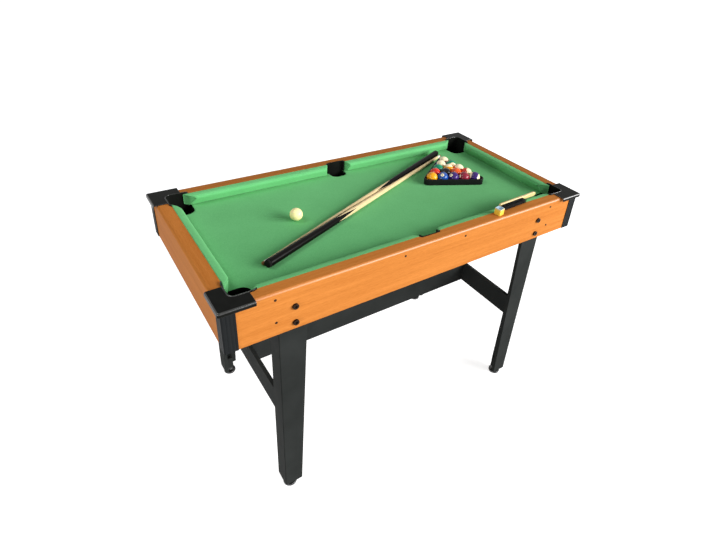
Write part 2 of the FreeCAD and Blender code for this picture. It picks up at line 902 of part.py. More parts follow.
def leg(name, along, across):
    """An L-shaped leg of two boards: the face tapers, the return stays parallel."""
    body = new_body(name + "_boards")
    face = [
        (0, foot_height),
        (leg_foot_width * -along, foot_height),
        (leg_top_width * -along, leg_top),
        (0, leg_top),
    ]
    pad(body, outline_sketch(body, "XZ_Plane", face), board, reverse=across < 0)
    side = [
        (0, foot_height),
        (leg_depth * -across, foot_height),
        (leg_depth * -across, leg_top),
        (0, leg_top),
    ]
    pad(body, outline_sketch(body, "YZ_Plane", side), board, reverse=along > 0)
    corner = lambda p, d: abs(d.z) > 0.99 and abs(p.x) < 0.01 and abs(p.y) < 0.01
    round_edges(body, corner, leg_round)
    place(body, leg_face_x * along, leg_face_y * across)
    keep(cut_with(name + "_leg", body, holes))


def leg_block(name, along, across):
    """The glue block inside a foot, bored for the levelling screw."""
    x = (leg_face_x - foot_inset) * along
    y = (leg_face_y - foot_inset) * across
    half = foot_inset - board
    box = doc.addObject("Part::Box", name + "_block")
    bind(box, "Length", half * 2)
    bind(box, "Width", half * 2)
    bind(box, "Height", block_height)
    place(box, x - half, y - half, foot_height)
    bore = doc.addObject("Part::Prism", name + "_bore")
    bore.Polygon = 12
    bind(bore, "Circumradius", (stem_diameter / 2 + gap) / math.cos(math.radians(15)))
    bind(bore, "Height", table_height)
    place(bore, x, y)
    keep(cut_with(name + "_leg_block", box, bore))


def leveller(name, along, across):
    """A levelling foot: a moulded disc with a neck, on a screwed stem."""
    disc = foot_diameter / 2
    stem = stem_diameter / 2
    neck_top = foot_height - gap
    moulded = turned(name + "_disc", [
        (disc - foot_ease, 0),
        (disc, foot_disc / 4),
        (disc, foot_disc * 0.6),
        (stem * 1.8, foot_disc),
        (stem * 1.8, neck_top),
    ], 16)
    stem_top = foot_height + block_height - stem_shortfall
    screwed = turned(name + "_stem", [(stem, neck_top), (stem, stem_top)], 12)
    foot = doc.addObject("Part::Fuse", name + "_leveller")
    foot.Label = name + "_leveller"
    foot.Base = moulded
    foot.Tool = screwed
    place(foot, (leg_face_x - foot_inset) * along, (leg_face_y - foot_inset) * across)
    keep(foot)


def end_stretcher(name, along):
    """The board on edge that ties the legs at one end."""
    body = new_body(name + "_tie")
    reach = leg_face_y - board - gap
    low, high = stretcher_rise, stretcher_rise + stretcher_height
    outline = [(-reach, low), (reach, low), (reach, high), (-reach, high)]
    pad(body, outline_sketch(body, "YZ_Plane", outline), board, reverse=along > 0)
    place(body, stretcher_face * along)
    keep(cut_with(name, body, holes))


def centre_stretcher():
    """The long board on edge that ties the two end stretchers."""
    body = new_body("centre_stretcher_tie")
    reach = stretcher_face - board
    low, high = stretcher_rise, stretcher_rise + stretcher_height
    outline = [(-reach, low), (reach, low), (reach, high), (-reach, high)]
    pad(body, outline_sketch(body, "XZ_Plane", outline), board, midplane=True)
    keep(cut_with("centre_stretcher", body, holes))


for name, along, across in leg_places():
    leg(name, along, across)
    leveller(name, along, across)
    leg_block(name, along, across)
end_stretcher("left_stretcher", -1)
end_stretcher("right_stretcher", 1)
centre_stretcher()


# Balls and rack

BALL_ROWS = ((1, 2, 4, 7, 12), (3, 8, 5, 11), (6, 9, 13), (10, 14), (15,))
ball_radius = ball_diameter / 2
ball_pitch = ball_diameter + gap
rest = cloth_top + gap

# The cues run across the bed between the long cushions, and the rack lies beside them.
cue_turn = math.degrees(math.asin(float(nose_line - cue_end_room - cue_y) * 2 / float(cue_length)))
rack_turn = cue_turn + float(rack_skew)
rack_x = end_face - rack_from_end
rack_y = cue_y + (rack_x - cue_x) * math.tan(math.radians(cue_turn))
rack_y = rack_y - rack_from_cues / math.cos(math.radians(cue_turn))


def ball(name, x, y):
    """One ball at rest on the cloth, turned with flat sides and a small flat at each pole."""
    bands = 8
    pole_share = 0.18
    profile = [(ball_radius * pole_share, -ball_radius)]
    for band in range(1, bands):
        angle = math.pi * band / bands
        profile.append((ball_radius * math.sin(angle), ball_radius * -math.cos(angle)))
    profile.append((ball_radius * pole_share, ball_radius))
    piece = turned(name, profile, 12)
    place(piece, x, y, rest + ball_radius)
    return piece


def racked_balls():
    """The fifteen numbered balls, in rows from the front of the rack to its back corner."""
    angle = math.radians(rack_turn - 60)
    first = math.radians(rack_turn + 150)
    spread = ball_pitch * 4 / math.sqrt(3)
    balls = []
    for row, numbers in enumerate(BALL_ROWS):
        for column, number in enumerate(numbers):
            u = column * math.cos(angle) + row * math.cos(angle + math.pi / 3)
            v = column * math.sin(angle) + row * math.sin(angle + math.pi / 3)
            x = rack_x + spread * math.cos(first) + ball_pitch * u
            y = rack_y + spread * math.sin(first) + ball_pitch * v
            balls.append(ball(f"ball_{number}", x, y))
    gathered = doc.addObject("Part::Compound", "object_balls")
    gathered.Label = "object_balls"
    gathered.Links = balls
    keep(gathered)


def rounded_triangle(name, offset, radius):
    """A triangle set off outwards from the ball centres, with rounded corners."""
    body = new_body(name)
    reach = ball_pitch * 4 / math.sqrt(3) + offset * 2
    angles = [math.radians(rack_turn + 150 + 120 * step) for step in range(3)]
    corners = [(reach * math.cos(angle), reach * math.sin(angle)) for angle in angles]
    pad(body, outline_sketch(body, "XY_Plane", corners), rack_height)
    round_edges(body, lambda p, d: abs(d.z) > 0.99, radius)
    place(body, rack_x, rack_y, rest)
    return body


def rack():
    """The triangle that gathers the balls."""
    inside = ball_radius + rack_slack
    hollow = rounded_triangle("rack_hollow", inside, rack_corner_round - rack_wall)
    frame = rounded_triangle("rack_frame", inside + rack_wall, rack_corner_round)
    top = float(rack_height)
    round_edges(frame, lambda p, d: abs(p.z - top) < 0.01, rack_ease, "PartDesign::Chamfer")
    keep(cut_with("rack", frame, hollow))


racked_balls()
keep(ball("cue_ball", cue_ball_from_end - end_face, cue_ball_y))
rack()


# Cues

def cue(name, side):
    """A three-foot cue lying on the cloth: bumper, butt, tapering shaft, ferrule and tip."""
    butt = cue_butt_diameter / 2
    tip = cue_tip_diameter / 2
    body = turned(name, [
        (butt - cue_ease, 0),
        (butt, cue_bumper),
        (tip, cue_length - cue_ease),
        (tip - cue_ease, cue_length),
    ], 16)
    fall = math.asin((float(butt) - float(tip)) / float(cue_length))
    heading = cue_turn + (0 if side < 0 else 180)
    turn = math.radians(heading)
    apart = (butt + tip) / 2 + gap
    across = math.radians(cue_turn + 90)
    tilt = Rotation(Vector(0, 1, 0), 90 + math.degrees(fall))
    x = cue_x + apart * side * math.cos(across) - cue_length / 2 * math.cos(turn)
    y = cue_y + apart * side * math.sin(across) - cue_length / 2 * math.sin(turn)
    place(body, x, y, rest + butt, heading, tilt)
    keep(body)


cue("cue_1", -1)
cue("cue_2", 1)


# Brush and chalk

def brush():
    """The table brush lying on its side on the front rail: wooden back and set bristles."""
    back = new_body("brush_back")
    grip = brush_back * 0.85
    outline = [
        (0, 0),
        (tuft_length, 0),
        (tuft_length + grip, brush_back - grip),
        (brush_length, brush_back - grip),
        (brush_length, brush_back),
        (0, brush_back),
    ]
    pad(back, outline_sketch(back, "XY_Plane", outline), brush_height)
    length = float(brush_length)
    end = lambda p, d: abs(d.y) > 0.99 and abs(p.x - length) < 0.01
    round_edges(back, end, brush_end_round)
    x = end_face - brush_from_end
    y = brush_from_face - side_face
    place(back, x, y, rail_top + gap, brush_turn)
    keep(back)
    bristles = new_body("brush_bristles")
    flare = tuft_reach / 5
    tufts = [
        (flare, 0),
        (0, -tuft_reach),
        (tuft_length, -tuft_reach),
        (tuft_length - flare, 0),
    ]
    pad(bristles, outline_sketch(bristles, "XY_Plane", tufts), tuft_height)
    place(bristles, x, y, rail_top + gap, brush_turn)
    keep(bristles)


def chalk():
    """A cube of cue chalk in its wrapper."""
    body = new_body("chalk")
    half = chalk_side / 2
    pad(body, outline_sketch(body, "XY_Plane", rectangle(half, half)), chalk_side)
    round_edges(body, lambda p, d: abs(d.z) > 0.99, chalk_ease, "PartDesign::Chamfer")
    place(body, end_face - chalk_from_end, chalk_from_face - side_face, rail_top + gap, chalk_turn)
    keep(body)


brush()
chalk()


# Check and write

def check_and_write():
    """Recompute, refuse any failed object, and write one file for each sub-part."""
    doc.recompute()
    for thing in doc.Objects:
        if "Invalid" in thing.State or "Error" in thing.State:
            raise RuntimeError(f"{thing.Name} failed: {thing.State}")
    os.makedirs("parts", exist_ok=True)
    for node in nodes:
        shape = node.Shape
        if shape.isNull() or not shape.isValid() or not shape.Solids:
            raise RuntimeError(node.Label + ": no valid solid")
        shape.exportStep(f"parts/{node.Label}.step")
        print(node.Label, len(shape.Solids), round(shape.Volume), [round(v, 1) for v in bounds(shape)])
    print(len(nodes), "sub-parts")


def bounds(shape):
    """The box round a shape as six numbers."""
    box = shape.BoundBox
    return box.XMin, box.XMax, box.YMin, box.YMax, box.ZMin, box.ZMax


check_and_write()
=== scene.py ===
"""Looks of a four-foot billiard table, set out for a game.

The script follows the table as it is put together: the stage, the stand, the box, the bed,
the pockets, the cushions and the fixings, and then the loose pieces that lie on it.
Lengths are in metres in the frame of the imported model: X along the table, Y across it
towards the back, Z up from the floor.
"""
import math
from contextlib import contextmanager

import bmesh
import bpy
import numpy as np
from mathutils import Matrix, Vector


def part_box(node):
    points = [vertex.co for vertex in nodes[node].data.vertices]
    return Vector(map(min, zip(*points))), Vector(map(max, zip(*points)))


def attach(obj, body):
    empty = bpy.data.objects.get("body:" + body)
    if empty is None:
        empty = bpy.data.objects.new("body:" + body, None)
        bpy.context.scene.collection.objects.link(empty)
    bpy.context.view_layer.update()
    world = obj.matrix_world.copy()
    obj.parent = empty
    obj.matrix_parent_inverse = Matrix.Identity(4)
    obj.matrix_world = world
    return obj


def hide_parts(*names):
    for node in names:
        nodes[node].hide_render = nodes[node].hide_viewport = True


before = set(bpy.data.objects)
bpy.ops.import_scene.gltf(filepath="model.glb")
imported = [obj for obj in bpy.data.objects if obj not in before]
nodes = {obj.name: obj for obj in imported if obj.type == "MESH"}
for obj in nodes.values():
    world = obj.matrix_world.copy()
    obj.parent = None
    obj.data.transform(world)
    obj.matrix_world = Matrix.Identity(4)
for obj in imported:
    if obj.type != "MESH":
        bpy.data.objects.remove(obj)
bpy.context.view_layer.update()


# Stage
# A white sweep under and behind the table. A broad key light stands far off to the front
# right, with a low fill from the left and a small one overhead. The camera looks down from
# beyond the front left corner at head height, rolled a few degrees.

IMAGE_WIDTH = 716
IMAGE_HEIGHT = 540
FOCAL_PIXELS = 511.5
OPTICAL_CENTRE = (385.3, 226.0)
CAMERA_PLACE = (-0.8262, -1.1553, 1.5074)
CAMERA_HEADING = -0.6443
CAMERA_DIP = 0.5394
CAMERA_ROLL = 0.0817
SENSOR_WIDTH = 36
FLOOR_REACH = 60


def linear(colour):
    """The linear red, green and blue of an sRGB hex colour such as #C07030."""
    parts = [int(colour[start:start + 2], 16) / 255 for start in (1, 3, 5)]
    return [c / 12.92 if c <= 0.04045 else ((c + 0.055) / 1.055) ** 2.4 for c in parts] + [1]


def add(tree, kind, inputs=(), **settings):
    """Add one shader node: plain values set its sockets, and sockets or nodes are linked to them.

    A node stands for the first of its outputs that is in use.
    """
    node = tree.nodes.new("ShaderNode" + kind)
    for name, value in settings.items():
        setattr(node, name, value)
    for name, value in dict(inputs).items():
        if isinstance(value, bpy.types.Node):
            value = next(output for output in value.outputs if output.enabled)
        if isinstance(value, bpy.types.NodeSocket):
            tree.links.new(value, node.inputs[name])
        else:
            node.inputs[name].default_value = value
    return node


def new_object(name, data):
    """An object in the scene for a mesh, a lamp, a camera or a text."""
    thing = bpy.data.objects.new(name, data)
    bpy.context.scene.collection.objects.link(thing)
    return thing


def place_camera():
    """Stand the camera where the photograph was taken from, with its lens and centre."""
    camera = new_object("camera", bpy.data.cameras.new("camera"))
    heading = Matrix.Rotation(CAMERA_HEADING, 4, "Z")
    dip = Matrix.Rotation(math.pi / 2 - CAMERA_DIP, 4, "X")
    roll = Matrix.Rotation(CAMERA_ROLL, 4, "Z")
    camera.matrix_world = Matrix.Translation(CAMERA_PLACE) @ heading @ dip @ roll
    camera.data.sensor_width = SENSOR_WIDTH
    camera.data.lens = FOCAL_PIXELS * SENSOR_WIDTH / IMAGE_WIDTH
    camera.data.shift_x = (IMAGE_WIDTH / 2 - OPTICAL_CENTRE[0]) / IMAGE_WIDTH
    camera.data.shift_y = (OPTICAL_CENTRE[1] - IMAGE_HEIGHT / 2) / IMAGE_WIDTH
    bpy.context.scene.camera = camera


def softbox(name, place, target, width, height, watts):
    """A rectangular studio light that faces a point."""
    lamp = bpy.data.lights.new(name, "AREA")
    lamp.shape = "RECTANGLE"
    lamp.size = width
    lamp.size_y = height
    lamp.energy = watts
    holder = new_object(name, lamp)
    holder.location = place
    holder.rotation_euler = (Vector(target) - Vector(place)).to_track_quat("-Z", "Y").to_euler()


def seen_directly(tree):
    """A factor that is 1 for what the camera sees, straight or by reflection, and 0 for light."""
    rays = add(tree, "LightPath").outputs
    either = add(tree, "Math", {0: rays["Is Camera Ray"], 1: rays["Is Glossy Ray"]}, operation="MAXIMUM")
    return add(tree, "Math", {0: either, 1: rays["Is Transmission Ray"]}, operation="MAXIMUM")


def light_the_room():
    """A white surround that lights the object evenly and shows white behind it."""
    world = bpy.data.worlds.new("studio")
    bpy.context.scene.world = world
    world.use_nodes = True
    tree = world.node_tree
    tree.nodes.clear()
    strength = add(tree, "MapRange", {"Value": seen_directly(tree), "To Min": 0.08, "To Max": 1.0})
    white = add(tree, "Background", {"Color": (1, 1, 1, 1), "Strength": strength})
    add(tree, "OutputWorld", {"Surface": white})


def new_material(name):
    """An empty material, its node tree and the object's own coordinates."""
    material = bpy.data.materials.new(name)
    material.use_nodes = True
    tree = material.node_tree
    tree.nodes.clear()
    return material, tree, add(tree, "TexCoord").outputs["Object"]


def white_floor():
    """A broad white floor that keeps only a faint shadow of the table.

    Within 1.2 m of its middle it glows a little less than white, so that the shadow shows,
    and from 2.8 m outwards it is as white as the surround.
    """
    mesh = bpy.data.meshes.new("floor")
    corners = [(x * FLOOR_REACH, y * FLOOR_REACH, 0) for x, y in ((-1, -1), (1, -1), (1, 1), (-1, 1))]
    mesh.from_pydata(corners, [], [(0, 1, 2, 3)])
    material, tree, place = new_material("white_paper")
    paper = add(tree, "BsdfDiffuse", {"Color": (0.6, 0.6, 0.6, 1)})
    away = add(tree, "VectorMath", {0: place}, operation="LENGTH")
    ramp = {"Value": away, "From Min": 1.2, "From Max": 2.8, "To Min": 0.8, "To Max": 1.0}
    glow = add(tree, "Emission", {"Color": (1, 1, 1, 1), "Strength": add(tree, "MapRange", ramp)})
    both = add(tree, "AddShader", {0: paper, 1: glow})
    shown = add(tree, "MixShader", {0: seen_directly(tree), 1: paper, 2: both})
    add(tree, "OutputMaterial", {"Surface": shown})
    mesh.materials.append(material)
    new_object("floor", mesh)


place_camera()
light_the_room()
softbox("key_light", (5.0, -6.5, 3.3), (0, 0, 0.75), 7.0, 4.6, 1430)
softbox("low_fill", (-3.7, -1.6, 1.05), (-0.5, 0, 0.7), 1.6, 0.9, 54)
softbox("high_fill", (-1.7, 0.5, 3.0), (-0.4, 0, 0.75), 1.2, 1.2, 26)
white_floor()


# Stand
# Four L-shaped legs with their foot blocks and the H of stretchers between them, sawn from
# 12 mm particle board and wrapped in black melamine foil, which eases the arrises.

LEG_CORNERS = ("front_left", "front_right", "back_right", "back_left")
SIDES = ("front", "back", "left", "right")
ARRIS = 0.0007
THIN_ARRIS = 0.0005
SAWN_ARRIS = 0.0003
ARRIS_DEGREES = 35
FLAT_DEGREES = 0.4
WELD_PACKED = 0.000002
REST_GAP = 0.0003


def shade(material, colour, rough, constants, relief=None, depth=0.0, strength=1.0):
    """Close a material with one principled surface, whose relief has a real depth in metres."""
    tree = material.node_tree
    inputs = {"Base Color": colour, "Roughness": rough, **constants}
    if relief is not None:
        inputs["Normal"] = add(tree, "Bump", {"Height": relief, "Distance": depth, "Strength": strength})
    add(tree, "OutputMaterial", {"Surface": add(tree, "BsdfPrincipled", inputs)})
    return material


def speckle(tree, place, scale, detail=3, rough=0.55):
    """Even noise from 0 to 1, in coordinates stretched alike or by one scale for each axis."""
    stretched = add(tree, "Mapping", {"Vector": place, "Scale": tuple(np.ones(3) * scale)})
    inputs = {"Vector": stretched, "Scale": 1.0, "Detail": detail, "Roughness": rough}
    return add(tree, "TexNoise", inputs)


def between(tree, factor, first, second, low=0.3, high=0.7):
    """A colour from the first to the second as the factor, such as noise, goes from low to high."""
    share = add(tree, "MapRange", {"Value": factor, "From Min": low, "From Max": high})
    return add(tree, "Mix", {"Factor": share, 6: linear(first), 7: linear(second)}, data_type="RGBA")


def black_melamine():
    """Melamine foil on particle board: matt near-black with a shallow printed pore."""
    material, tree, place = new_material("black_melamine_foil")
    pores = speckle(tree, place, (900, 900, 55), 4)
    colour = between(tree, speckle(tree, place, 9.0), "#242625", "#2C2E2D")
    rough = add(tree, "MapRange", {"Value": pores, "To Min": 0.52, "To Max": 0.68})
    return shade(material, colour, rough, {"IOR": 1.5, "Specular IOR Level": 0.02}, pores, 0.00006)


@contextmanager
def edited(mesh):
    """A mesh opened for editing, and written back at the end."""
    work = bmesh.new()
    work.from_mesh(mesh)
    yield work
    work.to_mesh(mesh)
    work.free()


def merged_copy(node):
    """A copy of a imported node's mesh with its doubles merged and its flat faces made whole."""
    mesh = nodes[node].data.copy()
    flat = math.radians(FLAT_DEGREES)
    with edited(mesh) as work:
        bmesh.ops.remove_doubles(work, verts=work.verts, dist=WELD_PACKED)
        bmesh.ops.dissolve_limit(work, angle_limit=flat, verts=work.verts, edges=work.edges)
    mesh.materials.clear()
    return mesh


def fitted(name, mesh, body, material, replaced=()):
    """Put a mesh into the scene with its finish, the body it rides on and the nodes it stands for."""
    piece = new_object(name, mesh)
    for one in material if isinstance(material, (list, tuple)) else [material]:
        mesh.materials.append(one)
    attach(piece, body)
    if replaced:
        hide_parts(*replaced)
    return piece


def eased(piece, width):
    """Round the sharp edges of a piece a little and keep its broad faces flat in the light."""
    piece.data.shade_smooth()
    bevel = piece.modifiers.new("arris", "BEVEL")
    bevel.width = width
    bevel.segments = 2
    bevel.limit_method = "ANGLE"
    bevel.angle_limit = math.radians(ARRIS_DEGREES)
    bevel.use_clamp_overlap = True
    normals = piece.modifiers.new("normals", "WEIGHTED_NORMAL")
    normals.keep_sharp = True
    return piece


def board(node, material, width=ARRIS):
    """A fixed piece of the table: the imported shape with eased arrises."""
    return eased(fitted(node + "_finished", merged_copy(node), "table", material, [node]), width)


melamine = black_melamine()
for corner in LEG_CORNERS:
    board(corner + "_leg", melamine)
    board(corner + "_leg_block", melamine, THIN_ARRIS)
for stretcher in ("left_stretcher", "right_stretcher", "centre_stretcher"):
    board(stretcher, melamine)


# Battens and bed
# Raw medium-density fibreboard for the bed and planed pine for the eight battens that are
# screwed to the aprons and carry it. None of it is finished: it only shows from below.

PLANED_ARRIS = 0.0008


def raw_fibreboard():
    """Medium-density fibreboard: an even tan with fine fibres and darker specks."""
    material, tree, place = new_material("raw_fibreboard")
    fibres = speckle(tree, place, (500, 700, 500), 5)
    base = between(tree, speckle(tree, place, 14.0), "#A98458", "#B79467")
    dark = between(tree, fibres, "#8E6A42", "#C6A67A", 0.25, 0.8)
    colour = add(tree, "Mix", {"Factor": 0.45, 6: base, 7: dark}, data_type="RGBA")
    return shade(material, colour, 0.78, {"IOR": 1.5}, fibres, 0.00008)


def planed_pine():
    """Planed pine: pale yellow wood with wide soft growth rings along the batten."""
    material, tree, place = new_material("planed_pine")
    stretched = add(tree, "Mapping", {"Vector": place, "Scale": (4, 25, 25)})
    warp = add(tree, "TexNoise", {"Vector": stretched, "Scale": 1.0, "Detail": 3}).outputs["Color"]
    growth = {"Vector": warp, "Scale": 6.0, "Distortion": 1.5, "Detail": 2}
    rings = add(tree, "TexWave", growth).outputs["Fac"]
    colour = between(tree, rings, "#C9A169", "#E0C08C", 0, 1)
    return shade(material, colour, 0.6, {"IOR": 1.5}, rings, 0.00005)


fibreboard = raw_fibreboard()
board("bed_board", fibreboard, SAWN_ARRIS)
pine = planed_pine()
for side in SIDES + LEG_CORNERS:
    board(side + "_batten", pine, PLANED_ARRIS)


# Rails and aprons
# Particle board wrapped in a wood-print foil, an orange beech under a satin lacquer. The back
# and right rails take a darker copy of the print as painted shade. The print runs along each
# board. The outer arris is rolled to a 7 mm radius, and hands have rubbed it bright along the front.

ROLL_LOW = 0.12
ROLL_HIGH = 0.97
BEECH = ("#B0682A", "#C97F3C", "#96521B", "#CD833F")
# The same beech print drawn darker: painted shade for the back and right rails.
SHADED_BEECH = ("#9B5B25", "#B17035", "#844818", "#B47337")
SATIN = {"level": 0.03, "gloss": (0.46, 0.6)}
HANDLED = {"level": 0.5, "gloss": (0.3, 0.4)}


def wood_print(name, along, tones, level, gloss):
    """Wood-print foil: warm beech, long pale and dark streaks and short pores.

    The tones are the dark and pale streaks, then the dark and pale ends of the pores.
    """
    material, tree, place = new_material(name)
    grain = (2.4, 80.0, 80.0) if along == "x" else (80.0, 2.4, 80.0)
    flecks = (70.0, 1100.0, 1100.0) if along == "x" else (1100.0, 70.0, 1100.0)
    wide = add(tree, "Mapping", {"Vector": place, "Scale": [g / 3 for g in grain]})
    sway = add(tree, "TexNoise", {"Vector": wide, "Scale": 1.0, "Detail": 2}).outputs["Color"]
    lines = add(tree, "Mapping", {"Vector": place, "Scale": grain})
    swayed = add(tree, "VectorMath", {0: lines, 1: sway}, operation="ADD")
    pores = speckle(tree, place, flecks, 2)
    base = between(tree, speckle(tree, swayed, 1.0, 6, 0.62), tones[0], tones[1])
    pored = between(tree, pores, tones[2], tones[3], 0.3, 0.6)
    colour = add(tree, "Mix", {"Factor": 0.25, 6: base, 7: pored}, data_type="RGBA")
    rough = add(tree, "MapRange", {"Value": pores, "To Min": gloss[0], "To Max": gloss[1]})
    return shade(material, colour, rough, {"IOR": 1.5, "Specular IOR Level": level}, pores, 0.00003)


def rolled_faces(piece):
    """Give the second finish to the faces of a rolled arris: those that lean up and outwards."""
    mesh = piece.data
    normal = np.empty(len(mesh.polygons) * 3, np.float32)
    mesh.polygons.foreach_get("normal", normal)
    up = normal[2::3]
    mesh.polygons.foreach_set("material_index", ((up > ROLL_LOW) & (up < ROLL_HIGH)).astype(np.int32))


along_print = wood_print("beech_print_along", "x", BEECH, **SATIN)
handled_print = wood_print("handled_print_along", "x", BEECH, **HANDLED)
across_print = wood_print("beech_print_across", "y", BEECH, **SATIN)
shaded_along_print = wood_print("shaded_beech_print_along", "x", SHADED_BEECH, **SATIN)
shaded_across_print = wood_print("shaded_beech_print_across", "y", SHADED_BEECH, **SATIN)
rolled_faces(board("front_rail", [along_print, handled_print], THIN_ARRIS))
# The back and right rails take the darker copies of the print, as painted shade.
for side, rail_print in (("back", shaded_along_print), ("left", across_print), ("right", shaded_across_print)):
    board(side + "_rail", rail_print, THIN_ARRIS)
for side, apron_print in zip(SIDES, (along_print, along_print, across_print, across_print)):
    board(side + "_apron", apron_print, THIN_ARRIS)


# Bed cloth
# A napped green playing cloth stretched over the bed and glued. It is cut out at the six
# pockets, where its edge is pressed down on to the rim of the board.

TABLE_END = 0.6100
TABLE_SIDE = 0.3075
RAIL_LINE = 0.2615
CLOTH_X = 0.5637
CLOTH_Y = 0.2612
CLOTH_TOP = 0.7370
CLOTH_THICKNESS = 0.0008
CLOTH_CELL = 0.005
CLOTH_RIPPLE = 0.00012
EDGE_REACH = 0.003
EDGE_DROP = 0.0005
POCKET_INSET = 0.077
POCKET_HALF = 0.034
CORNER_RADII = (0.014, 0.016, 0.026, 0.016)
SIDE_RADII = (0.010, 0.010, 0.022, 0.022)
SIDE_HALF = 0.029
SIDE_BACK = -0.0053
SIDE_FRONT = 0.0387


def rounded_distance(x, y, x0, x1, y0, y1, radii):
    """Signed distance to a rectangle whose corners have their own radii.

    With p the point less the middle, b the half sizes and r the radius of its own quarter,
    d = min(max(q), 0) + |max(q, 0)| - r, where q = |p| - b + r.
    """
    px = x - (x0 + x1) / 2
    py = y - (y0 + y1) / 2
    left = px < 0
    low = py < 0
    radius = np.where(low, np.where(left, radii[0], radii[1]), np.where(left, radii[3], radii[2]))
    qx = np.abs(px) - (x1 - x0) / 2 + radius
    qy = np.abs(py) - (y1 - y0) / 2 + radius
    outside = np.hypot(np.maximum(qx, 0), np.maximum(qy, 0))
    return np.minimum(np.maximum(qx, qy), 0) + outside - radius


def pocket_distance(x, y):
    """Signed distance to the nearest pocket mouth, worked out in one quarter of the table.

    A corner mouth is a rounded square about a point 77 mm in from both outer faces, and a
    side mouth is a rounded rectangle on the short middle line.
    """
    ax = np.abs(x)
    ay = np.abs(y)
    corner_x = TABLE_END - ax
    corner_y = TABLE_SIDE - ay
    low = POCKET_INSET - POCKET_HALF
    high = POCKET_INSET + POCKET_HALF
    corner = rounded_distance(corner_x, corner_y, low, high, low, high, CORNER_RADII)
    side = rounded_distance(x, RAIL_LINE - ay, -SIDE_HALF, SIDE_HALF, SIDE_BACK, SIDE_FRONT, SIDE_RADII)
    return np.minimum(corner, side)


def quads(rows, columns, closed=True):
    """The quads between rows of points, each row closed on itself or left open."""
    row = np.arange(rows - 1)[:, None] * columns
    here = np.arange(columns if closed else columns - 1)
    following = (here + 1) % columns
    corners = [row + here, row + columns + here, row + columns + following, row + following]
    return np.stack([corner.ravel() for corner in corners], 1)


def mesh_from(name, points, faces):
    """A smooth mesh from an array of points and an array of faces, or a list of such arrays."""
    mesh = bpy.data.meshes.new(name)
    groups = faces if isinstance(faces, list) else [faces]
    corners = np.concatenate([group.ravel() for group in groups])
    sizes = np.concatenate([np.full(len(group), group.shape[1]) for group in groups])
    mesh.vertices.add(len(points))
    mesh.vertices.foreach_set("co", np.asarray(points, np.float32).ravel())
    mesh.loops.add(len(corners))
    mesh.loops.foreach_set("vertex_index", corners.astype(np.int32))
    mesh.polygons.add(len(sizes))
    mesh.polygons.foreach_set("loop_start", (np.cumsum(sizes) - sizes).astype(np.int32))
    mesh.polygons.foreach_set("use_smooth", np.full(len(sizes), True))
    mesh.update(calc_edges=True)
    mesh.validate()
    return mesh


def playing_cloth():
    """Brushed nylon and wool cloth: matt green, a soft nap that catches light at the edges.

    The tufts are drawn about 2 mm wide, coarser than real nap, which is too fine to show.
    """
    material, tree, place = new_material("napped_green_cloth")
    tufts = speckle(tree, place, (420.0, 546.0, 420.0))
    base = between(tree, speckle(tree, place, 11.0), "#5DAE6B", "#65B874")
    flecked = between(tree, tufts, "#52A25F", "#70C37F")
    colour = add(tree, "Mix", {"Factor": 0.4, 6: base, 7: flecked}, data_type="RGBA")
    nap = {"Sheen Weight": 0.25, "Sheen Roughness": 0.5, "Sheen Tint": linear("#B8E6B4")}
    constants = {"IOR": 1.5, "Specular IOR Level": 0.2, **nap}
    return shade(material, colour, 0.92, constants, speckle(tree, place, 1400.0, 2), 0.00012)


def cloth_sheet():
    """The stretched cloth as a grid with holes.

    Points of cells that the pockets' outlines cross slide along the distance's slope on to
    the outline, and within 3 mm of it the sheet sinks by a quarter circle:
    z = top - 0.5 mm (1 - sqrt(1 - (1 - d / 3 mm)^2)).
    """
    columns = int(2 * CLOTH_X / CLOTH_CELL) + 1
    rows = int(2 * CLOTH_Y / CLOTH_CELL) + 1
    across = np.linspace(-CLOTH_X, CLOTH_X, columns)
    along = np.linspace(-CLOTH_Y, CLOTH_Y, rows)
    x, y = np.meshgrid(across, along)
    faces = quads(rows, columns, False)[:, ::-1]
    distance = pocket_distance(x, y).ravel()
    inside = distance[faces] < 0
    kept = faces[~inside.all(1)]
    point = np.stack([x.ravel(), y.ravel()], 1)
    touched = np.zeros(len(point), bool)
    touched[kept[inside[~inside.all(1)].nonzero()[0]].ravel()] = True
    sliding = np.flatnonzero(touched & (distance < 0.0))
    tiny = 1e-5
    for _ in range(4):
        px, py = point[sliding].T
        here = pocket_distance(px, py)
        slope_x = (pocket_distance(px + tiny, py) - pocket_distance(px - tiny, py)) / (2 * tiny)
        slope_y = (pocket_distance(px, py + tiny) - pocket_distance(px, py - tiny)) / (2 * tiny)
        size = np.maximum(slope_x ** 2 + slope_y ** 2, 1e-9)
        point[sliding] -= np.stack([here * slope_x / size, here * slope_y / size], 1)
    point[:, 0] = np.clip(point[:, 0], -CLOTH_X, CLOTH_X)
    point[:, 1] = np.clip(point[:, 1], -CLOTH_Y, CLOTH_Y)
    edge = np.clip(1 - pocket_distance(*point.T) / EDGE_REACH, 0, 1)
    ripple = CLOTH_RIPPLE * np.sin(point[:, 0] * 23 + 1.3) * np.sin(point[:, 1] * 31 + 0.4)
    fall = EDGE_DROP * (1 - np.sqrt(1 - np.minimum(edge, 0.999) ** 2))
    z = CLOTH_TOP - 0.0002 + ripple - fall
    used, kept = np.unique(kept, return_inverse=True)
    points = np.column_stack([point, z])[used]
    return mesh_from("bed_cloth_sheet", points, kept.reshape(-1, 4))


green_cloth = playing_cloth()
cloth = fitted("bed_cloth_sheet", cloth_sheet(), "table", green_cloth, ["bed_cloth"])
thickness = cloth.modifiers.new("thickness", "SOLIDIFY")
thickness.thickness = CLOTH_THICKNESS - REST_GAP
thickness.offset = -1


# Cushions
# A rubber strip glued to each rail, with the playing cloth drawn over its nose and tacked
# under the wood. At the pockets the strip is cut on the slant and the cloth folded round it.

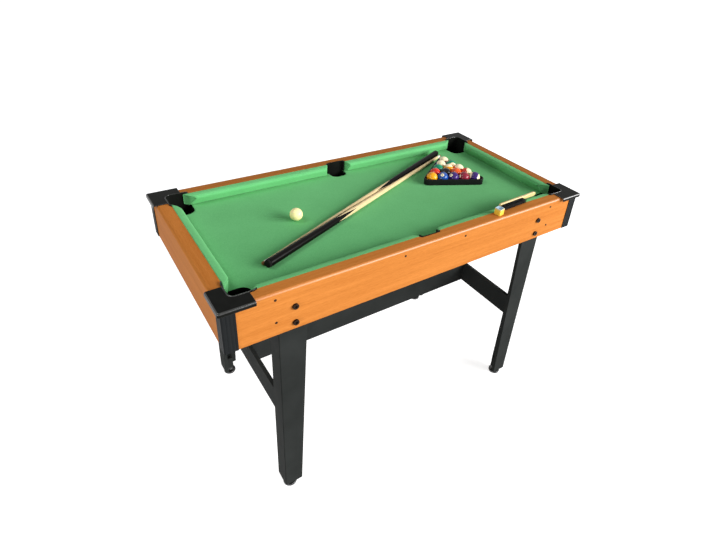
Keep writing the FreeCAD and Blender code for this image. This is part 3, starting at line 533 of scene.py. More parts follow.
RAIL_TOP = 0.7710
CUSHION_FOOT = CLOTH_TOP + REST_GAP
NOSE_REACH = 0.0237
JAW_ROUND = 0.007
JAW_ROUND_START = 0.010
FOLD_DEPTH = 0.0011
FOLD_REACH = 0.003
COVER_RIPPLE = 0.00022
SECTION_STEPS = 46


def turned_about(points, degrees):
    """Points turned about the Z axis: x' = x cos a - y sin a, y' = x sin a + y cos a."""
    angle = math.radians(degrees)
    cos, sin = math.cos(angle), math.sin(angle)
    return points @ np.array([[cos, sin, 0], [-sin, cos, 0], [0, 0, 1]])


def unit(vectors):
    """Vectors divided by their own lengths."""
    return vectors / np.linalg.norm(vectors, axis=-1, keepdims=True)


def smooth_step(value):
    """3 t^2 - 2 t^3 with t held between 0 and 1."""
    t = np.clip(value, 0, 1)
    return t * t * (3 - 2 * t)


def cushion_section(count):
    """Half-round profile of a cushion, from the rail's top over the nose and back under.

    Reach from the rail and height above the foot are given at a few bends and joined by
    straight runs in even steps, which one pass of weights 1, 2, 1 over 4 then softens.
    """
    bends = np.array([
        (0.0000, 0.0326), (0.0008, 0.0334), (0.0050, 0.0333), (0.0115, 0.0327), (0.0175, 0.0314),
        (0.0212, 0.0289), (0.0232, 0.0262), (0.0237, 0.0236), (0.0233, 0.0210), (0.0212, 0.0165),
        (0.0180, 0.0095), (0.0155, 0.0030), (0.0140, 0.0003), (0.0070, 0.0000), (0.0000, 0.0003),
    ])
    length = np.concatenate([[0], np.cumsum(np.hypot(*np.diff(bends, axis=0).T))])
    even = np.linspace(0, length[-1], count)
    reach = np.interp(even, length, bends[:, 0])
    height = np.interp(even, length, bends[:, 1])
    soft = np.array([0.25, 0.5, 0.25])
    reach[1:-1] = np.convolve(reach, soft, "valid")
    height[1:-1] = np.convolve(height, soft, "valid")
    return reach, height


def cushion_mesh(name, start, end, start_slant, end_slant, line, degrees):
    """One cushion as its section carried along the rail.

    At reach r the strip runs from start + a c to end - b c, where a and b are the slants, so
    its ends lie on the jaws, and c = r + 7 mm t^2 with t going from 0 at a reach of 10 mm to
    1 at the nose, which rounds the nose into the jaw. Each end closes in three rings that
    shrink on to the middle of the section, the outer one drawn in for the fold of the cloth.
    """
    reach, height = cushion_section(SECTION_STEPS)
    share = np.concatenate([[0, 0.0012, 0.003], np.linspace(0.008, 0.992, 110), [0.997, 0.9988, 1]])
    rounding = np.clip((reach - JAW_ROUND_START) / (NOSE_REACH - JAW_ROUND_START), 0, 1)
    cut = reach + JAW_ROUND * rounding ** 2
    first = start + start_slant * cut
    last = end - end_slant * cut
    x = first + share[:, None] * (last - first)
    near_end = np.minimum(share, 1 - share)[:, None] * (end - start)
    drawn = FOLD_DEPTH * (1 - smooth_step(near_end / FOLD_REACH))
    middle = np.array([reach.mean(), height.mean()])
    away = unit(np.stack([reach - middle[0], height - middle[1]], 1))
    pull = COVER_RIPPLE * np.sin(x * 41 + height * 90) * smooth_step((reach - 0.004) / 0.01)
    r = reach + away[:, 0] * (pull - drawn)
    z = height + away[:, 1] * (pull - drawn)
    r = np.clip(r, 0.0003, NOSE_REACH)
    rings = np.stack([x, line + r, CUSHION_FOOT + np.clip(z, 0, None)], 2)
    rows, columns = rings.shape[:2]
    faces = [quads(rows, columns)]
    points = [rings.reshape(-1, 3)]
    for ring, flip in ((0, True), (rows - 1, False)):
        middle_point = rings[ring].mean(0)
        base = sum(len(p) for p in points)
        shrink = np.array([0.82, 0.45, 0.0])
        sets = middle_point + shrink[:, None, None] * (rings[ring] - middle_point)
        points.append(sets.reshape(-1, 3))
        order = np.concatenate([np.arange(columns) + ring * columns, base + np.arange(3 * columns)])
        cap = order[quads(4, columns)]
        faces.append(cap if flip else cap[:, ::-1])
    return mesh_from(name, turned_about(np.concatenate(points), degrees), faces)


LONG_LINE = -RAIL_LINE
SHORT_LINE = -0.5640
LONG_END = 0.517
SHORT_END = 0.2145
SIDE_END = 0.033
JAW_SLANT = 1.0
SIDE_SLANT = 11 / 24
for name, start, end, start_slant, end_slant, line, degrees in (
    ("front_left_cushion", -LONG_END, -SIDE_END, JAW_SLANT, SIDE_SLANT, LONG_LINE, 0),
    ("front_right_cushion", SIDE_END, LONG_END, SIDE_SLANT, JAW_SLANT, LONG_LINE, 0),
    ("back_right_cushion", -LONG_END, -SIDE_END, JAW_SLANT, SIDE_SLANT, LONG_LINE, 180),
    ("back_left_cushion", SIDE_END, LONG_END, SIDE_SLANT, JAW_SLANT, LONG_LINE, 180),
    ("right_cushion", -SHORT_END, SHORT_END, JAW_SLANT, JAW_SLANT, SHORT_LINE, 90),
    ("left_cushion", -SHORT_END, SHORT_END, JAW_SLANT, JAW_SLANT, SHORT_LINE, 270),
):
    mesh = cushion_mesh(name + "_covered", start, end, start_slant, end_slant, line, degrees)
    strip = fitted(name + "_covered", mesh, "table", green_cloth, [name])


# Pocket mouldings and corner posts
# Injection-moulded polystyrene, glossy black and burnished on its rolled lip and arrises.
# The cap lies over the rails, its rim stands proud round the mouth, and the liner goes down
# into a closed cup. The ribbed posts are extruded and pushed in below the caps.

LIP_ARRIS = 0.0009


def glossy_polystyrene(name, level):
    """High-impact polystyrene from a polished mould: deep black, faint flow marks, scuffs."""
    material, tree, place = new_material(name)
    flow = speckle(tree, place, (30, 30, 12), 2)
    scuffs = speckle(tree, place, (240, 900, 240), 5)
    colour = between(tree, flow, "#121311", "#191A18")
    worn = {"Value": scuffs, "From Min": 0.45, "From Max": 0.8, "To Min": 0.16, "To Max": 0.3}
    constants = {"IOR": 1.59, "Specular IOR Level": level}
    return shade(material, colour, add(tree, "MapRange", worn), constants, flow, 0.00008, 0.5)


def satin_polystyrene():
    """The same resin extruded for the posts: dark grey, drawn in fine lines down its length."""
    material, tree, place = new_material("satin_black_polystyrene")
    drawn = speckle(tree, place, (700, 700, 6))
    colour = between(tree, drawn, "#17191A", "#202223")
    return shade(material, colour, 0.42, {"IOR": 1.59, "Specular IOR Level": 0.03}, drawn, 0.00002)


moulded = glossy_polystyrene("glossy_black_polystyrene", 0.02)
burnished = glossy_polystyrene("burnished_black_polystyrene", 0.5)
for place in LEG_CORNERS + ("front_side", "back_side"):
    moulding = board(place + "_pocket", [moulded, burnished], LIP_ARRIS)
    rolled_faces(moulding)
    moulding.modifiers["arris"].material = 1
satin = satin_polystyrene()
for corner in LEG_CORNERS:
    board(corner + "_post", satin, SAWN_ARRIS)


# Levelling feet
# A glass-filled nylon disc moulded round the head of a zinc-plated stem. Finger notches
# run round the disc, and the stem screws up into the leg block.

FOOT_X = 0.442
FOOT_Y = 0.2615
NECK_TOP = 0.0226
STEM_TOP = 0.0620
STEM_RADIUS = 0.0050
STEM_PITCH = 0.0015
STEM_THREAD = 0.0005
DISC_STEPS = 96
STEM_STEPS = 40
NOTCHES = 24
NOTCH_DEPTH = 0.0006
DISC_RIM = 0.0192


def lathe(profile, steps, wobble=None):
    """Rings of points from a half outline of (radius, height) pairs.

    x = r cos a, y = r sin a, z = h, with the radius changed by wobble(r, h, a) if given.
    """
    angle = np.arange(steps) * 2 * math.pi / steps
    radius = np.repeat(profile[:, :1], steps, 1)
    height = np.repeat(profile[:, 1:], steps, 1)
    if wobble:
        radius = radius + wobble(radius, height, angle[None, :])
    return np.stack([radius * np.cos(angle), radius * np.sin(angle), height], 2)


def turned_mesh(name, parts):
    """One mesh from several sets of rings, whose faces look outwards as the profile goes up."""
    points = []
    faces = []
    base = 0
    for rings in parts:
        rows, columns = rings.shape[:2]
        faces.append(quads(rows, columns)[:, ::-1] + base)
        points.append(rings.reshape(-1, 3))
        base += rows * columns
    return mesh_from(name, np.concatenate(points), faces)


def finish_by_part(mesh, parts):
    """Give each set of rings in a turned mesh the finish of its own number."""
    counts = [(len(rings) - 1) * rings.shape[1] for rings in parts]
    finish = np.repeat(np.arange(len(parts)), counts)
    mesh.polygons.foreach_set("material_index", finish.astype(np.int32))


def notches(radius, height, angle):
    """Finger notches: the rim dips by 0.6 mm in twenty-four waves where the disc is widest."""
    rim = smooth_step((radius - DISC_RIM) / 0.001)
    return -NOTCH_DEPTH * rim * (0.5 + 0.5 * np.cos(NOTCHES * angle)) ** 3


def foot_profile():
    """The disc with a rounded sole and shoulder, and its neck, from the floor up."""
    turn = np.linspace(0, math.pi / 2, 6)
    sole = np.column_stack([0.0190 + 0.0019 * np.sin(turn), 0.0019 - 0.0019 * np.cos(turn)])
    shoulder = np.column_stack([0.0175 + 0.0034 * np.cos(turn), 0.0068 + 0.0020 * np.sin(turn)])
    slope = np.array([(0.0130, 0.0096), (0.0100, 0.0106), (0.0092, 0.0112), (0.0089, 0.0125)])
    neck = np.array([(0.0088, 0.0220), (0.0085, NECK_TOP), (0.0060, NECK_TOP), (0.0, NECK_TOP)])
    return np.concatenate([[(0.0, 0.0), (0.0120, 0.0), (0.0185, 0.0)], sole, shoulder, slope, neck])


def stem_profile():
    """A rolled thread drawn as rings: the radius falls by the depth once in each pitch."""
    count = int((STEM_TOP - NECK_TOP) / STEM_PITCH * 4)
    height = np.linspace(NECK_TOP, STEM_TOP - 0.0012, count)
    wave = 0.5 + 0.5 * np.cos(2 * math.pi * (height - NECK_TOP) / STEM_PITCH)
    body = np.column_stack([STEM_RADIUS - STEM_THREAD * wave, height])
    end = [(STEM_RADIUS - 0.0014, STEM_TOP), (0.0, STEM_TOP)]
    return np.concatenate([[(0.0, NECK_TOP)], body, end])


def moulded_nylon():
    """Glass-filled nylon: black, with a satin skin and a fine moulded grain."""
    material, tree, place = new_material("moulded_black_nylon")
    grain = speckle(tree, place, 900.0, 2)
    colour = between(tree, grain, "#141415", "#1F1F20", 0, 1)
    return shade(material, colour, 0.2, {"IOR": 1.53, "Specular IOR Level": 0.6}, grain, 0.00003)


def zinc_plate():
    """Bright zinc on steel: pale metal with a slightly cloudy surface."""
    material, tree, place = new_material("zinc_plated_steel")
    cloud = speckle(tree, place, 300.0)
    rough = add(tree, "MapRange", {"Value": cloud, "To Min": 0.25, "To Max": 0.42})
    return shade(material, linear("#C4C6C8"), rough, {"Metallic": 1.0})


nylon = moulded_nylon()
zinc = zinc_plate()
for corner in LEG_CORNERS:
    place = (-FOOT_X if "left" in corner else FOOT_X, -FOOT_Y if "front" in corner else FOOT_Y, 0)
    disc = lathe(foot_profile(), DISC_STEPS, notches) + place
    stem = lathe(stem_profile(), STEM_STEPS) + place
    name = corner + "_foot"
    mesh = turned_mesh(name, [disc, stem])
    fitted(name + "_finished", mesh, name, [nylon, zinc], [corner + "_leveller"])
    finish_by_part(mesh, (disc, stem))


# Fixings
# Eight socket-headed bolts with square nuts hold the legs, and round-headed screws the
# rest. All are steel, blackened by heat and oil.

HEAD_ARRIS = 0.0004
HEAD_STEPS = 40
HEAD_ROWS = 10
SCREW_LENGTH = 0.0220
SCREW_RADIUS = 0.00165
SCREW_THREAD = 0.00035
SCREW_PITCH = 0.0017
SCREW_HEAD = 0.0035
APRON_FACE = 0.2975
RAIL_SCREWS = 0.751
CLEAT_SCREWS = 0.6842


def black_oxide():
    """Black oxide on steel: dark brown-black metal with a dull oily sheen."""
    material, tree, place = new_material("black_oxide_steel")
    cloud = speckle(tree, place, 500.0)
    rough = add(tree, "MapRange", {"Value": cloud, "To Min": 0.32, "To Max": 0.48})
    return shade(material, between(tree, cloud, "#241A14", "#3A2C22", 0, 1), rough, {"Metallic": 1.0})


oxide = black_oxide()
board("leg_bolts", oxide, HEAD_ARRIS)
board("leg_nuts", oxide, SAWN_ARRIS)


def crossed_head(radius, rise):
    """A domed screw head with a cross recess, as rings from the rim to the crown.

    z = rise (1 - (r / R)^2)^0.6 less the recess, which is 0.55 rise deep along both arms of
    the cross, fades out from 0.14 R to 0.22 R beside them, and ends at 0.62 R.
    """
    angle = np.arange(HEAD_STEPS) * 2 * math.pi / HEAD_STEPS
    r = (radius * np.linspace(1, 0, HEAD_ROWS))[:, None]
    x = r * np.cos(angle)
    y = r * np.sin(angle)
    dome = rise * (1 - (r / radius) ** 2).clip(0) ** 0.6
    arm = np.minimum(np.abs(x), np.abs(y))
    beside = smooth_step((0.22 * radius - arm) / (0.08 * radius))
    recess = beside * smooth_step((0.62 * radius - r) / (0.1 * radius))
    return np.stack([x, y, dome - 0.55 * rise * recess], 2)


def screw_rings():
    """A wood screw along -Z: head, shank with a coarse thread, and point."""
    head = crossed_head(SCREW_HEAD, SCREW_HEAD / 2)
    height = np.linspace(0.0005 - SCREW_LENGTH, -0.0004, 60)
    thread = SCREW_RADIUS - SCREW_THREAD * (0.5 + 0.5 * np.cos(2 * math.pi * height / SCREW_PITCH))
    radius = np.minimum(thread, (height + SCREW_LENGTH) * 0.7)
    shank = lathe(np.column_stack([radius, height]), 14)
    return head, shank


def screw_seats():
    """Where the screws sit and which way their heads look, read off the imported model."""
    seats = []
    for side in (-1, 1):
        for x in (-0.475, 0.475):
            for z in (RAIL_SCREWS, CLEAT_SCREWS):
                seats.append((x, side * APRON_FACE, z, (0, side, 0)))
        for x in (-0.1065, 0.1065):
            seats.append((x, side * APRON_FACE, RAIL_SCREWS, (0, side, 0)))
        for z in (0.300, 0.340):
            for y in (-0.2555, 0.2555):
                seats.append((side * 0.442, y, z, (-side, 0, 0)))
            seats.append((side * 0.454, 0.0, z, (side, 0, 0)))
    return seats


def all_screws():
    """Every screw in one mesh: the same rings, turned to each seat by a small different angle."""
    head, shank = screw_rings()
    parts = []
    for number, (x, y, z, look) in enumerate(screw_seats()):
        spin = Matrix.Rotation(number * 0.7, 3, "Z")
        turn = np.array(Vector(look).to_track_quat("Z", "Y").to_matrix() @ spin)
        for rings in (shank, head):
            parts.append(rings @ turn.T + (x, y, z))
    return turned_mesh("wood_screws_finished", parts)


fitted("wood_screws_finished", all_screws(), "table", oxide, ["wood_screws"])


# Balls
# Cast polyester resin, ground and polished to 38 mm. Each object ball has a coloured body
# or band and two white discs with its number, and the cue ball is plain ivory white.

BALL_RADIUS = 0.019
BALL_PITCH = 0.0383
BALL_CELLS = 25
WELD_BALL = 0.00001
NUMERAL_SIZES = (0.0096, 0.0078)
NUMERAL_SWELL = 0.0002
INK_PROUD = 0.00003
RACK_CENTRE = (0.343, 0.04708)
RACK_TURN = 35.007
RACK_REACH = BALL_PITCH * 4 / math.sqrt(3)
BALL_LEVEL = CLOTH_TOP + REST_GAP + BALL_RADIUS
BALL_ROWS = ((1, 2, 4, 7, 12), (3, 8, 5, 11), (6, 9, 13), (10, 14), (15,))
BALL_COLOURS = ("#F7A512", "#1C4C9C", "#D8301C", "#3A1F6B", "#EE5E22", "#0E8A62", "#8A1E34", "#101012")
PLAYER_SIDES = np.array([(0.713, 0.280, -0.643), (-0.701, 0.284, -0.654), (0.0, 0.917, 0.399)])
BALLS_AT_REST = {
    1: ((0.3, 0.9, -0.35), (1.0, 0.0, 0.0)),
    2: ((-0.1, 0.45, 0.88), (1.0, 0.1, 0.0)),
    3: ((-0.4, 0.8, -0.4), (1.0, 0.0, 0.2)),
    4: ((-0.48, 0.35, 0.80), (0.8, 0.3, 0.2)),
    5: ((0.5, 0.8, -0.4), (0.0, 0.3, 1.0)),
    6: ((0.1, 0.9, -0.45), (1.0, 0.0, 0.3)),
    7: ((-0.8, 0.1, 0.59), (0.5, -0.2, 0.7)),
    8: ((0.7, 0.6, -0.4), (0.4, 0.0, 0.9)),
    9: ((0.6, 0.1, -0.7), (-0.5, 0.6, 0.6)),
    10: ((-0.7, 0.6, -0.4), (0.5, 0.1, 0.86)),
    11: ((-0.3, 0.9, -0.4), (0.8, 0.3, 0.5)),
    12: ((0.2, 0.8, -0.5), (0.95, -0.25, 0.1)),
    13: ((-0.8, 0.4, -0.5), (0.5, 0.5, 0.7)),
    14: ((0.9, 0.3, -0.3), (0.1, -0.45, 0.88)),
    15: ((-0.6, 0.4, -0.7), (0.3, 0.6, 0.74)),
}


def resin(name, band, stripe):
    """Cast polyester resin: clear even colour under a hard polish, with white discs.

    The ball's own attribute "spot" holds the unit direction from its middle in the ball's
    own turned frame, where the discs are on +Z and -Z and the stripe's poles on +X and -X.
    """
    material, tree, _ = new_material(name)
    spot = add(tree, "Attribute", attribute_name="spot").outputs["Vector"]
    parts = add(tree, "SeparateXYZ", {0: spot}).outputs
    pole = add(tree, "Math", {0: parts["X"]}, operation="ABSOLUTE")
    disc = add(tree, "Math", {0: parts["Z"]}, operation="ABSOLUTE")
    white = linear("#FFF0C6")
    colour = linear(band)
    if stripe:
        off_band = add(tree, "MapRange", {"Value": pole, "From Min": 0.552, "From Max": 0.562})
        colour = add(tree, "Mix", {"Factor": off_band, 6: colour, 7: white}, data_type="RGBA")
    on_disc = add(tree, "MapRange", {"Value": disc, "From Min": 0.948, "From Max": 0.952})
    colour = add(tree, "Mix", {"Factor": on_disc, 6: colour, 7: white}, data_type="RGBA")
    return shade(material, colour, 0.06, {"IOR": 1.55, "Specular IOR Level": 0.2})


def mark(mesh, name, vectors):
    """Keep a vector at each point of a mesh for its finish to follow."""
    kept = mesh.attributes.new(name, "FLOAT_VECTOR", "POINT")
    kept.data.foreach_set("vector", vectors.astype(np.float32).ravel())


def ball_mesh(name, centre, turn):
    """A sphere from a cube whose faces are drawn out evenly, with no poles.

    Each face's grid goes through tan(pi u / 4) before it is pushed out to the radius. The
    untwisted direction in the ball's own frame is kept in the attribute "spot".
    """
    side = np.tan(np.linspace(-1, 1, BALL_CELLS) * math.pi / 4)
    u, v = [g.ravel() for g in np.meshgrid(side, side)]
    one = np.ones_like(u)
    faces = []
    points = []
    sides = ((u, v, one), (-u, v, -one), (one, u, v), (-one, -u, v), (v, one, u), (v, -one, -u))
    for number, directions in enumerate(sides):
        points.append(np.stack(directions, 1))
        faces.append(quads(BALL_CELLS, BALL_CELLS, False)[:, ::-1] + number * BALL_CELLS ** 2)
    direction = unit(np.concatenate(points))
    mesh = mesh_from(name, direction @ turn.T * BALL_RADIUS + centre, faces)
    mark(mesh, "spot", direction)
    with edited(mesh) as work:
        bmesh.ops.remove_doubles(work, verts=work.verts, dist=WELD_BALL)
    mesh.shade_smooth()
    return mesh


def numeral_mesh(number, centre, turn):
    """The printed number on both discs, cut from type and laid on the sphere.

    A flat point (x, y) goes to the direction (x, y, sqrt(R^2 - x^2 - y^2)), 0.03 mm proud.
    """
    text = bpy.data.curves.new("numeral", "FONT")
    text.body = str(number)
    text.size = NUMERAL_SIZES[0 if number < 10 else 1]
    text.offset = NUMERAL_SWELL
    text.align_x = "CENTER"
    text.align_y = "CENTER"
    holder = new_object("numeral", text)
    bpy.context.view_layer.update()
    flat = bpy.data.meshes.new_from_object(holder.evaluated_get(bpy.context.evaluated_depsgraph_get()))
    bpy.data.objects.remove(holder)
    with edited(flat) as work:
        bmesh.ops.triangulate(work, faces=work.faces)
        bmesh.ops.subdivide_edges(work, edges=work.edges, cuts=2, use_grid_fill=True)
        bmesh.ops.triangulate(work, faces=work.faces)
    count = len(flat.vertices)
    place = np.empty(count * 3, np.float32)
    flat.vertices.foreach_get("co", place)
    place = place.reshape(-1, 3)
    place[:, :2] -= (place[:, :2].max(0) + place[:, :2].min(0)) / 2
    corners = np.empty(len(flat.polygons) * 3, np.int32)
    flat.polygons.foreach_get("vertices", corners)
    faces = corners.reshape(-1, 3)
    proud = BALL_RADIUS + INK_PROUD
    up = np.sqrt(proud ** 2 - place[:, 0] ** 2 - place[:, 1] ** 2)
    front = np.column_stack([place[:, 0], place[:, 1], up])
    back = front * (-1, 1, -1)
    points = np.concatenate([front, back]) @ turn.T + centre
    return mesh_from("numeral", points, np.concatenate([faces, faces + count]))


def racked_places():
    """The fifteen balls: number, X and Y, in rows from the front of the rack to its back corner."""
    along = math.radians(RACK_TURN - 60)
    first = math.radians(RACK_TURN + 150)
    places = []
    for row, numbers in enumerate(BALL_ROWS):
        for column, number in enumerate(numbers):
            u = column * math.cos(along) + row * math.cos(along + math.pi / 3)
            v = column * math.sin(along) + row * math.sin(along + math.pi / 3)
            x = RACK_CENTRE[0] + RACK_REACH * math.cos(first) + BALL_PITCH * u
            y = RACK_CENTRE[1] + RACK_REACH * math.sin(first) + BALL_PITCH * v
            places.append((number, x, y))
    return places


def printing_ink():
    """Black pad-printing ink, a little duller than the resin."""
    material, tree, place = new_material("numeral_ink")
    screen = speckle(tree, place, 2000.0)
    rough = add(tree, "MapRange", {"Value": screen, "To Min": 0.22, "To Max": 0.34})
    return shade(material, linear("#161516"), rough, {"IOR": 1.5})


def at_rest(number):
    """How a ball came to rest, as the turn that takes its own axes to the table's.

    The table of rests tells where its first disc and its stripe's pole look, as shares to
    the right, up and towards a player who stands at the front left corner.
    """
    disc, pole = [PLAYER_SIDES @ np.array(look) for look in BALLS_AT_REST[number]]
    disc = unit(disc)
    pole = unit(pole - disc * (pole @ disc))
    return np.column_stack([pole, np.cross(disc, pole), disc])


ink = printing_ink()
for number, x, y in racked_places():
    turn = at_rest(number)
    colour = BALL_COLOURS[(number - 1) % 8] if number != 8 else BALL_COLOURS[7]
    finish = resin(f"cast_resin_{number}", colour, number > 8)
    centre = np.array([x, y, BALL_LEVEL])
    mesh = ball_mesh(f"ball_{number}", centre, turn)
    fitted(f"ball_{number}", mesh, "object_balls", finish, ["object_balls"])
    fitted(f"numeral_{number}", numeral_mesh(number, centre, turn), "object_balls", ink)


def ivory_resin():
    """Cue ball resin: warm white, cloudy a few tenths of a millimetre deep, polished."""
    material, tree, place = new_material("ivory_white_resin")
    colour = between(tree, speckle(tree, place, 60.0), "#FFEBA6", "#FFF2B4")
    depth = {"Subsurface Weight": 0.1, "Subsurface Scale": 0.002}
    return shade(material, colour, 0.12, {"IOR": 1.55, "Specular IOR Level": 0.25, **depth})


low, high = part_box("cue_ball")
cue_ball_centre = np.array([(low.x + high.x) / 2, (low.y + high.y) / 2, BALL_LEVEL])
mesh = ball_mesh("cue_ball_polished", cue_ball_centre, np.eye(3))
fitted("cue_ball_polished", mesh, "cue_ball", ivory_resin(), ["cue_ball"])


# Rack
# The triangle is one polypropylene moulding, 3.2 mm thick and 22 mm high, whose top and
# bottom edges are rounded. It stands 1.5 mm off the balls.

RACK_SLACK = 0.0015
RACK_WALL = 0.0032
RACK_CORNER = 0.016
RACK_HEIGHT = 0.022
ARC_STEPS = 24
SIDE_STEPS = 20


def rounded_triangle(reach, radius):
    """A closed path: three arcs about the sharp corners' centres joined by straight runs.

    With the middle at the origin, the arcs' centres lie at distance reach and each arc sweeps
    120 degrees, so the path is the reach triangle set off outwards by the radius.
    """
    arcs = []
    for corner in range(3):
        middle = math.radians(RACK_TURN + 150 + 120 * corner)
        sweep = middle + np.linspace(-math.pi / 3, math.pi / 3, ARC_STEPS)
        centre = reach * np.array([math.cos(middle), math.sin(middle)])
        arcs.append(centre + radius * np.column_stack([np.cos(sweep), np.sin(sweep)]))
    share = np.linspace(0, 1, SIDE_STEPS + 2)[1:-1, None]
    runs = []
    for arc, following in zip(arcs, arcs[1:] + arcs[:1]):
        runs += [arc, arc[-1] + share * (following[0] - arc[-1])]
    return np.concatenate(runs)


def rack_mesh():
    """The wall's rounded section carried round the triangle.

    The section is a stadium: at angle t of its ends the offset is r cos t and the height the
    end's middle plus r sin t, with r half the wall. A corner's arc is tighter than the wall
    is far from the balls, so its centre moves out by twice the difference.
    """
    half = RACK_WALL / 2
    middle = BALL_RADIUS + RACK_SLACK + half
    bend = RACK_CORNER - half
    reach = RACK_REACH + 2 * (middle - bend)
    top = np.linspace(0, math.pi, 9)
    end = half - 0.00005
    offset = end * np.concatenate([np.cos(top), np.cos(top + math.pi)])
    height = np.concatenate([RACK_HEIGHT - half + end * np.sin(top), half + end * np.sin(top + math.pi)])
    rings = [rounded_triangle(reach, bend + o) for o in offset]
    levelled = [np.column_stack([ring, np.full(len(ring), h)]) for ring, h in zip(rings, height)]
    stacked = np.stack(levelled, 1)
    points = stacked.reshape(-1, 3) + (*RACK_CENTRE, CLOTH_TOP + REST_GAP)
    rows, columns = stacked.shape[:2]
    faces = quads(rows + 1, columns) % (rows * columns)
    return mesh_from("rack_moulding", points, faces[:, ::-1])


def satin_polypropylene():
    """Polypropylene from a textured mould: black, waxy and a little grey on its bends."""
    material, tree, place = new_material("satin_black_polypropylene")
    colour = between(tree, speckle(tree, place, 25.0), "#111112", "#1A1A1B", 0, 1)
    grain = speckle(tree, place, 700.0, 2)
    return shade(material, colour, 0.33, {"IOR": 1.49, "Specular IOR Level": 0.15}, grain, 0.00002)


fitted("rack_moulding", rack_mesh(), "rack", satin_polypropylene(), ["rack"])


# Cues
# One-piece ramin cues turned to a taper. The butt is stained black with four long spliced
# points, the front end has a white ferrule and a leather tip, and a rubber bumper is behind.

CUE_LENGTH = 0.930
CUE_BUTT = 0.0115
CUE_TIP = 0.005
CUE_TURN = 22.507
CUE_STEPS = 40
CUE_PLACE = (-0.007, 0.030)
CUE_APART = (CUE_BUTT + CUE_TIP) / 2 + REST_GAP
BUMPER_END = 0.0064
POINT_LENGTH = 0.045
FERRULE_START = CUE_LENGTH - 0.0215
TIP_START = CUE_LENGTH - 0.0070


def cue_profile():
    """Radius along the cue from bumper to tip: a rounded bumper, the taper, and a domed tip."""
    turn = np.linspace(0, math.pi / 2, 7)
    bumper = np.column_stack([0.0085 + 0.0022 * np.sin(turn), 0.0022 - 0.0022 * np.cos(turn)])
    along = np.concatenate([[0.0065, 0.0068, 0.0071], np.linspace(0.012, CUE_LENGTH - 0.022, 260)])
    taper = CUE_BUTT - (CUE_BUTT - CUE_TIP) * along / CUE_LENGTH
    taper[:3] -= (0.0008, 0.0002, 0.0)
    shaft = np.column_stack([taper - 0.00005, along])
    ferrule = np.array([(0.00505, FERRULE_START), (0.00500, TIP_START), (0.00480, TIP_START + 0.0002)])
    tip = np.column_stack([0.0034 + 0.0014 * np.cos(turn), CUE_LENGTH - 0.0016 + 0.0015 * np.sin(turn)])
    start = [(0.0, 0.0), (0.006, 0.0)]
    end = [(0.0, CUE_LENGTH - 0.0001)]
    return np.concatenate([start, bumper, [(0.0107, 0.0062)], shaft, ferrule, tip, end])


def lacquered_cue(name, butt_length, point_length):
    """Lacquered ramin: pale straight-grained wood, black-stained butt, points, ferrule, tip.

    The attribute "along" holds the distance from the butt in metres and the turn round the
    cue from 0 to 1. The points' edge is butt + points (1 - 2 |frac(4 turn) - 1/2| 2).
    """
    material, tree, place = new_material(name)
    marks = add(tree, "Attribute", attribute_name="along").outputs["Vector"]
    distance, around, _ = add(tree, "SeparateXYZ", {0: marks}).outputs
    lines = add(tree, "CombineXYZ", {"X": distance, "Y": around, "Z": 0.0})
    grain = speckle(tree, lines, (7.0, 34.0, 1.0), 5)
    wedge = around
    for step, value in (("MULTIPLY", 4.0), ("FRACT", 0.0), ("SUBTRACT", 0.5), ("ABSOLUTE", 0.0)):
        wedge = add(tree, "Math", {0: wedge, 1: value}, operation=step)
    ends = {"To Min": butt_length + 2 * point_length, "To Max": butt_length - 2 * point_length}
    edge = add(tree, "MapRange", {"Value": wedge, **ends})
    beyond = add(tree, "Math", {0: distance, 1: edge}, operation="SUBTRACT")
    shaft = add(tree, "MapRange", {"Value": beyond, "From Min": -0.0002, "From Max": 0.0002})
    at_bumper = add(tree, "Math", {0: distance, 1: BUMPER_END}, operation="LESS_THAN")
    at_ferrule = add(tree, "Math", {0: distance, 1: FERRULE_START - 0.0001}, operation="GREATER_THAN")
    at_tip = add(tree, "Math", {0: distance, 1: TIP_START + 0.0001}, operation="GREATER_THAN")
    stain = between(tree, grain, "#080707", "#110F0E")
    pale = between(tree, grain, "#D2B683", "#E8D5A8")
    colour = stain
    for factor, other in (
        (shaft, pale),
        (at_ferrule, linear("#E9E6DC")),
        (at_tip, linear("#86593C")),
        (at_bumper, linear("#1B1A1A")),
    ):
        colour = add(tree, "Mix", {"Factor": factor, 6: colour, 7: other}, data_type="RGBA")
    dull = add(tree, "Math", {0: at_bumper, 1: at_tip}, operation="MAXIMUM")
    rough = add(tree, "MapRange", {"Value": dull, "To Min": 0.2, "To Max": 0.8})
    pores = speckle(tree, place, 400.0, 2)
    return shade(material, colour, rough, {"IOR": 1.5, "Specular IOR Level": 0.06}, pores, 0.00002)


def cue_mesh(name, side):
    """A cue lying on the cloth: its rings turned down so that its lowest line is level.

    The axis falls by asin((R - r) / L) from butt to tip, and the two cues lie side by side,
    head to tail, with the middle of each CUE_APART from the common line.
    """
    rings = lathe(cue_profile(), CUE_STEPS)
    fall = math.asin((CUE_BUTT - CUE_TIP) / CUE_LENGTH)
    heading = math.radians(CUE_TURN + (0 if side < 0 else 180))
    across = math.radians(CUE_TURN + 90)
    turn = np.array(Matrix.Rotation(heading, 3, "Z") @ Matrix.Rotation(math.pi / 2 + fall, 3, "Y"))
    x = CUE_PLACE[0] + CUE_APART * side * math.cos(across) - CUE_LENGTH / 2 * math.cos(heading)
    y = CUE_PLACE[1] + CUE_APART * side * math.sin(across) - CUE_LENGTH / 2 * math.sin(heading)
    placed = rings @ turn.T + (x, y, CLOTH_TOP + REST_GAP + CUE_BUTT)
    mesh = turned_mesh(name, [placed])
    marks = np.zeros(rings.shape)
    marks[:, :, 0] = rings[:, :, 2]
    marks[:, :, 1] = np.arange(rings.shape[1]) / rings.shape[1]
    mark(mesh, "along", marks)
    return mesh


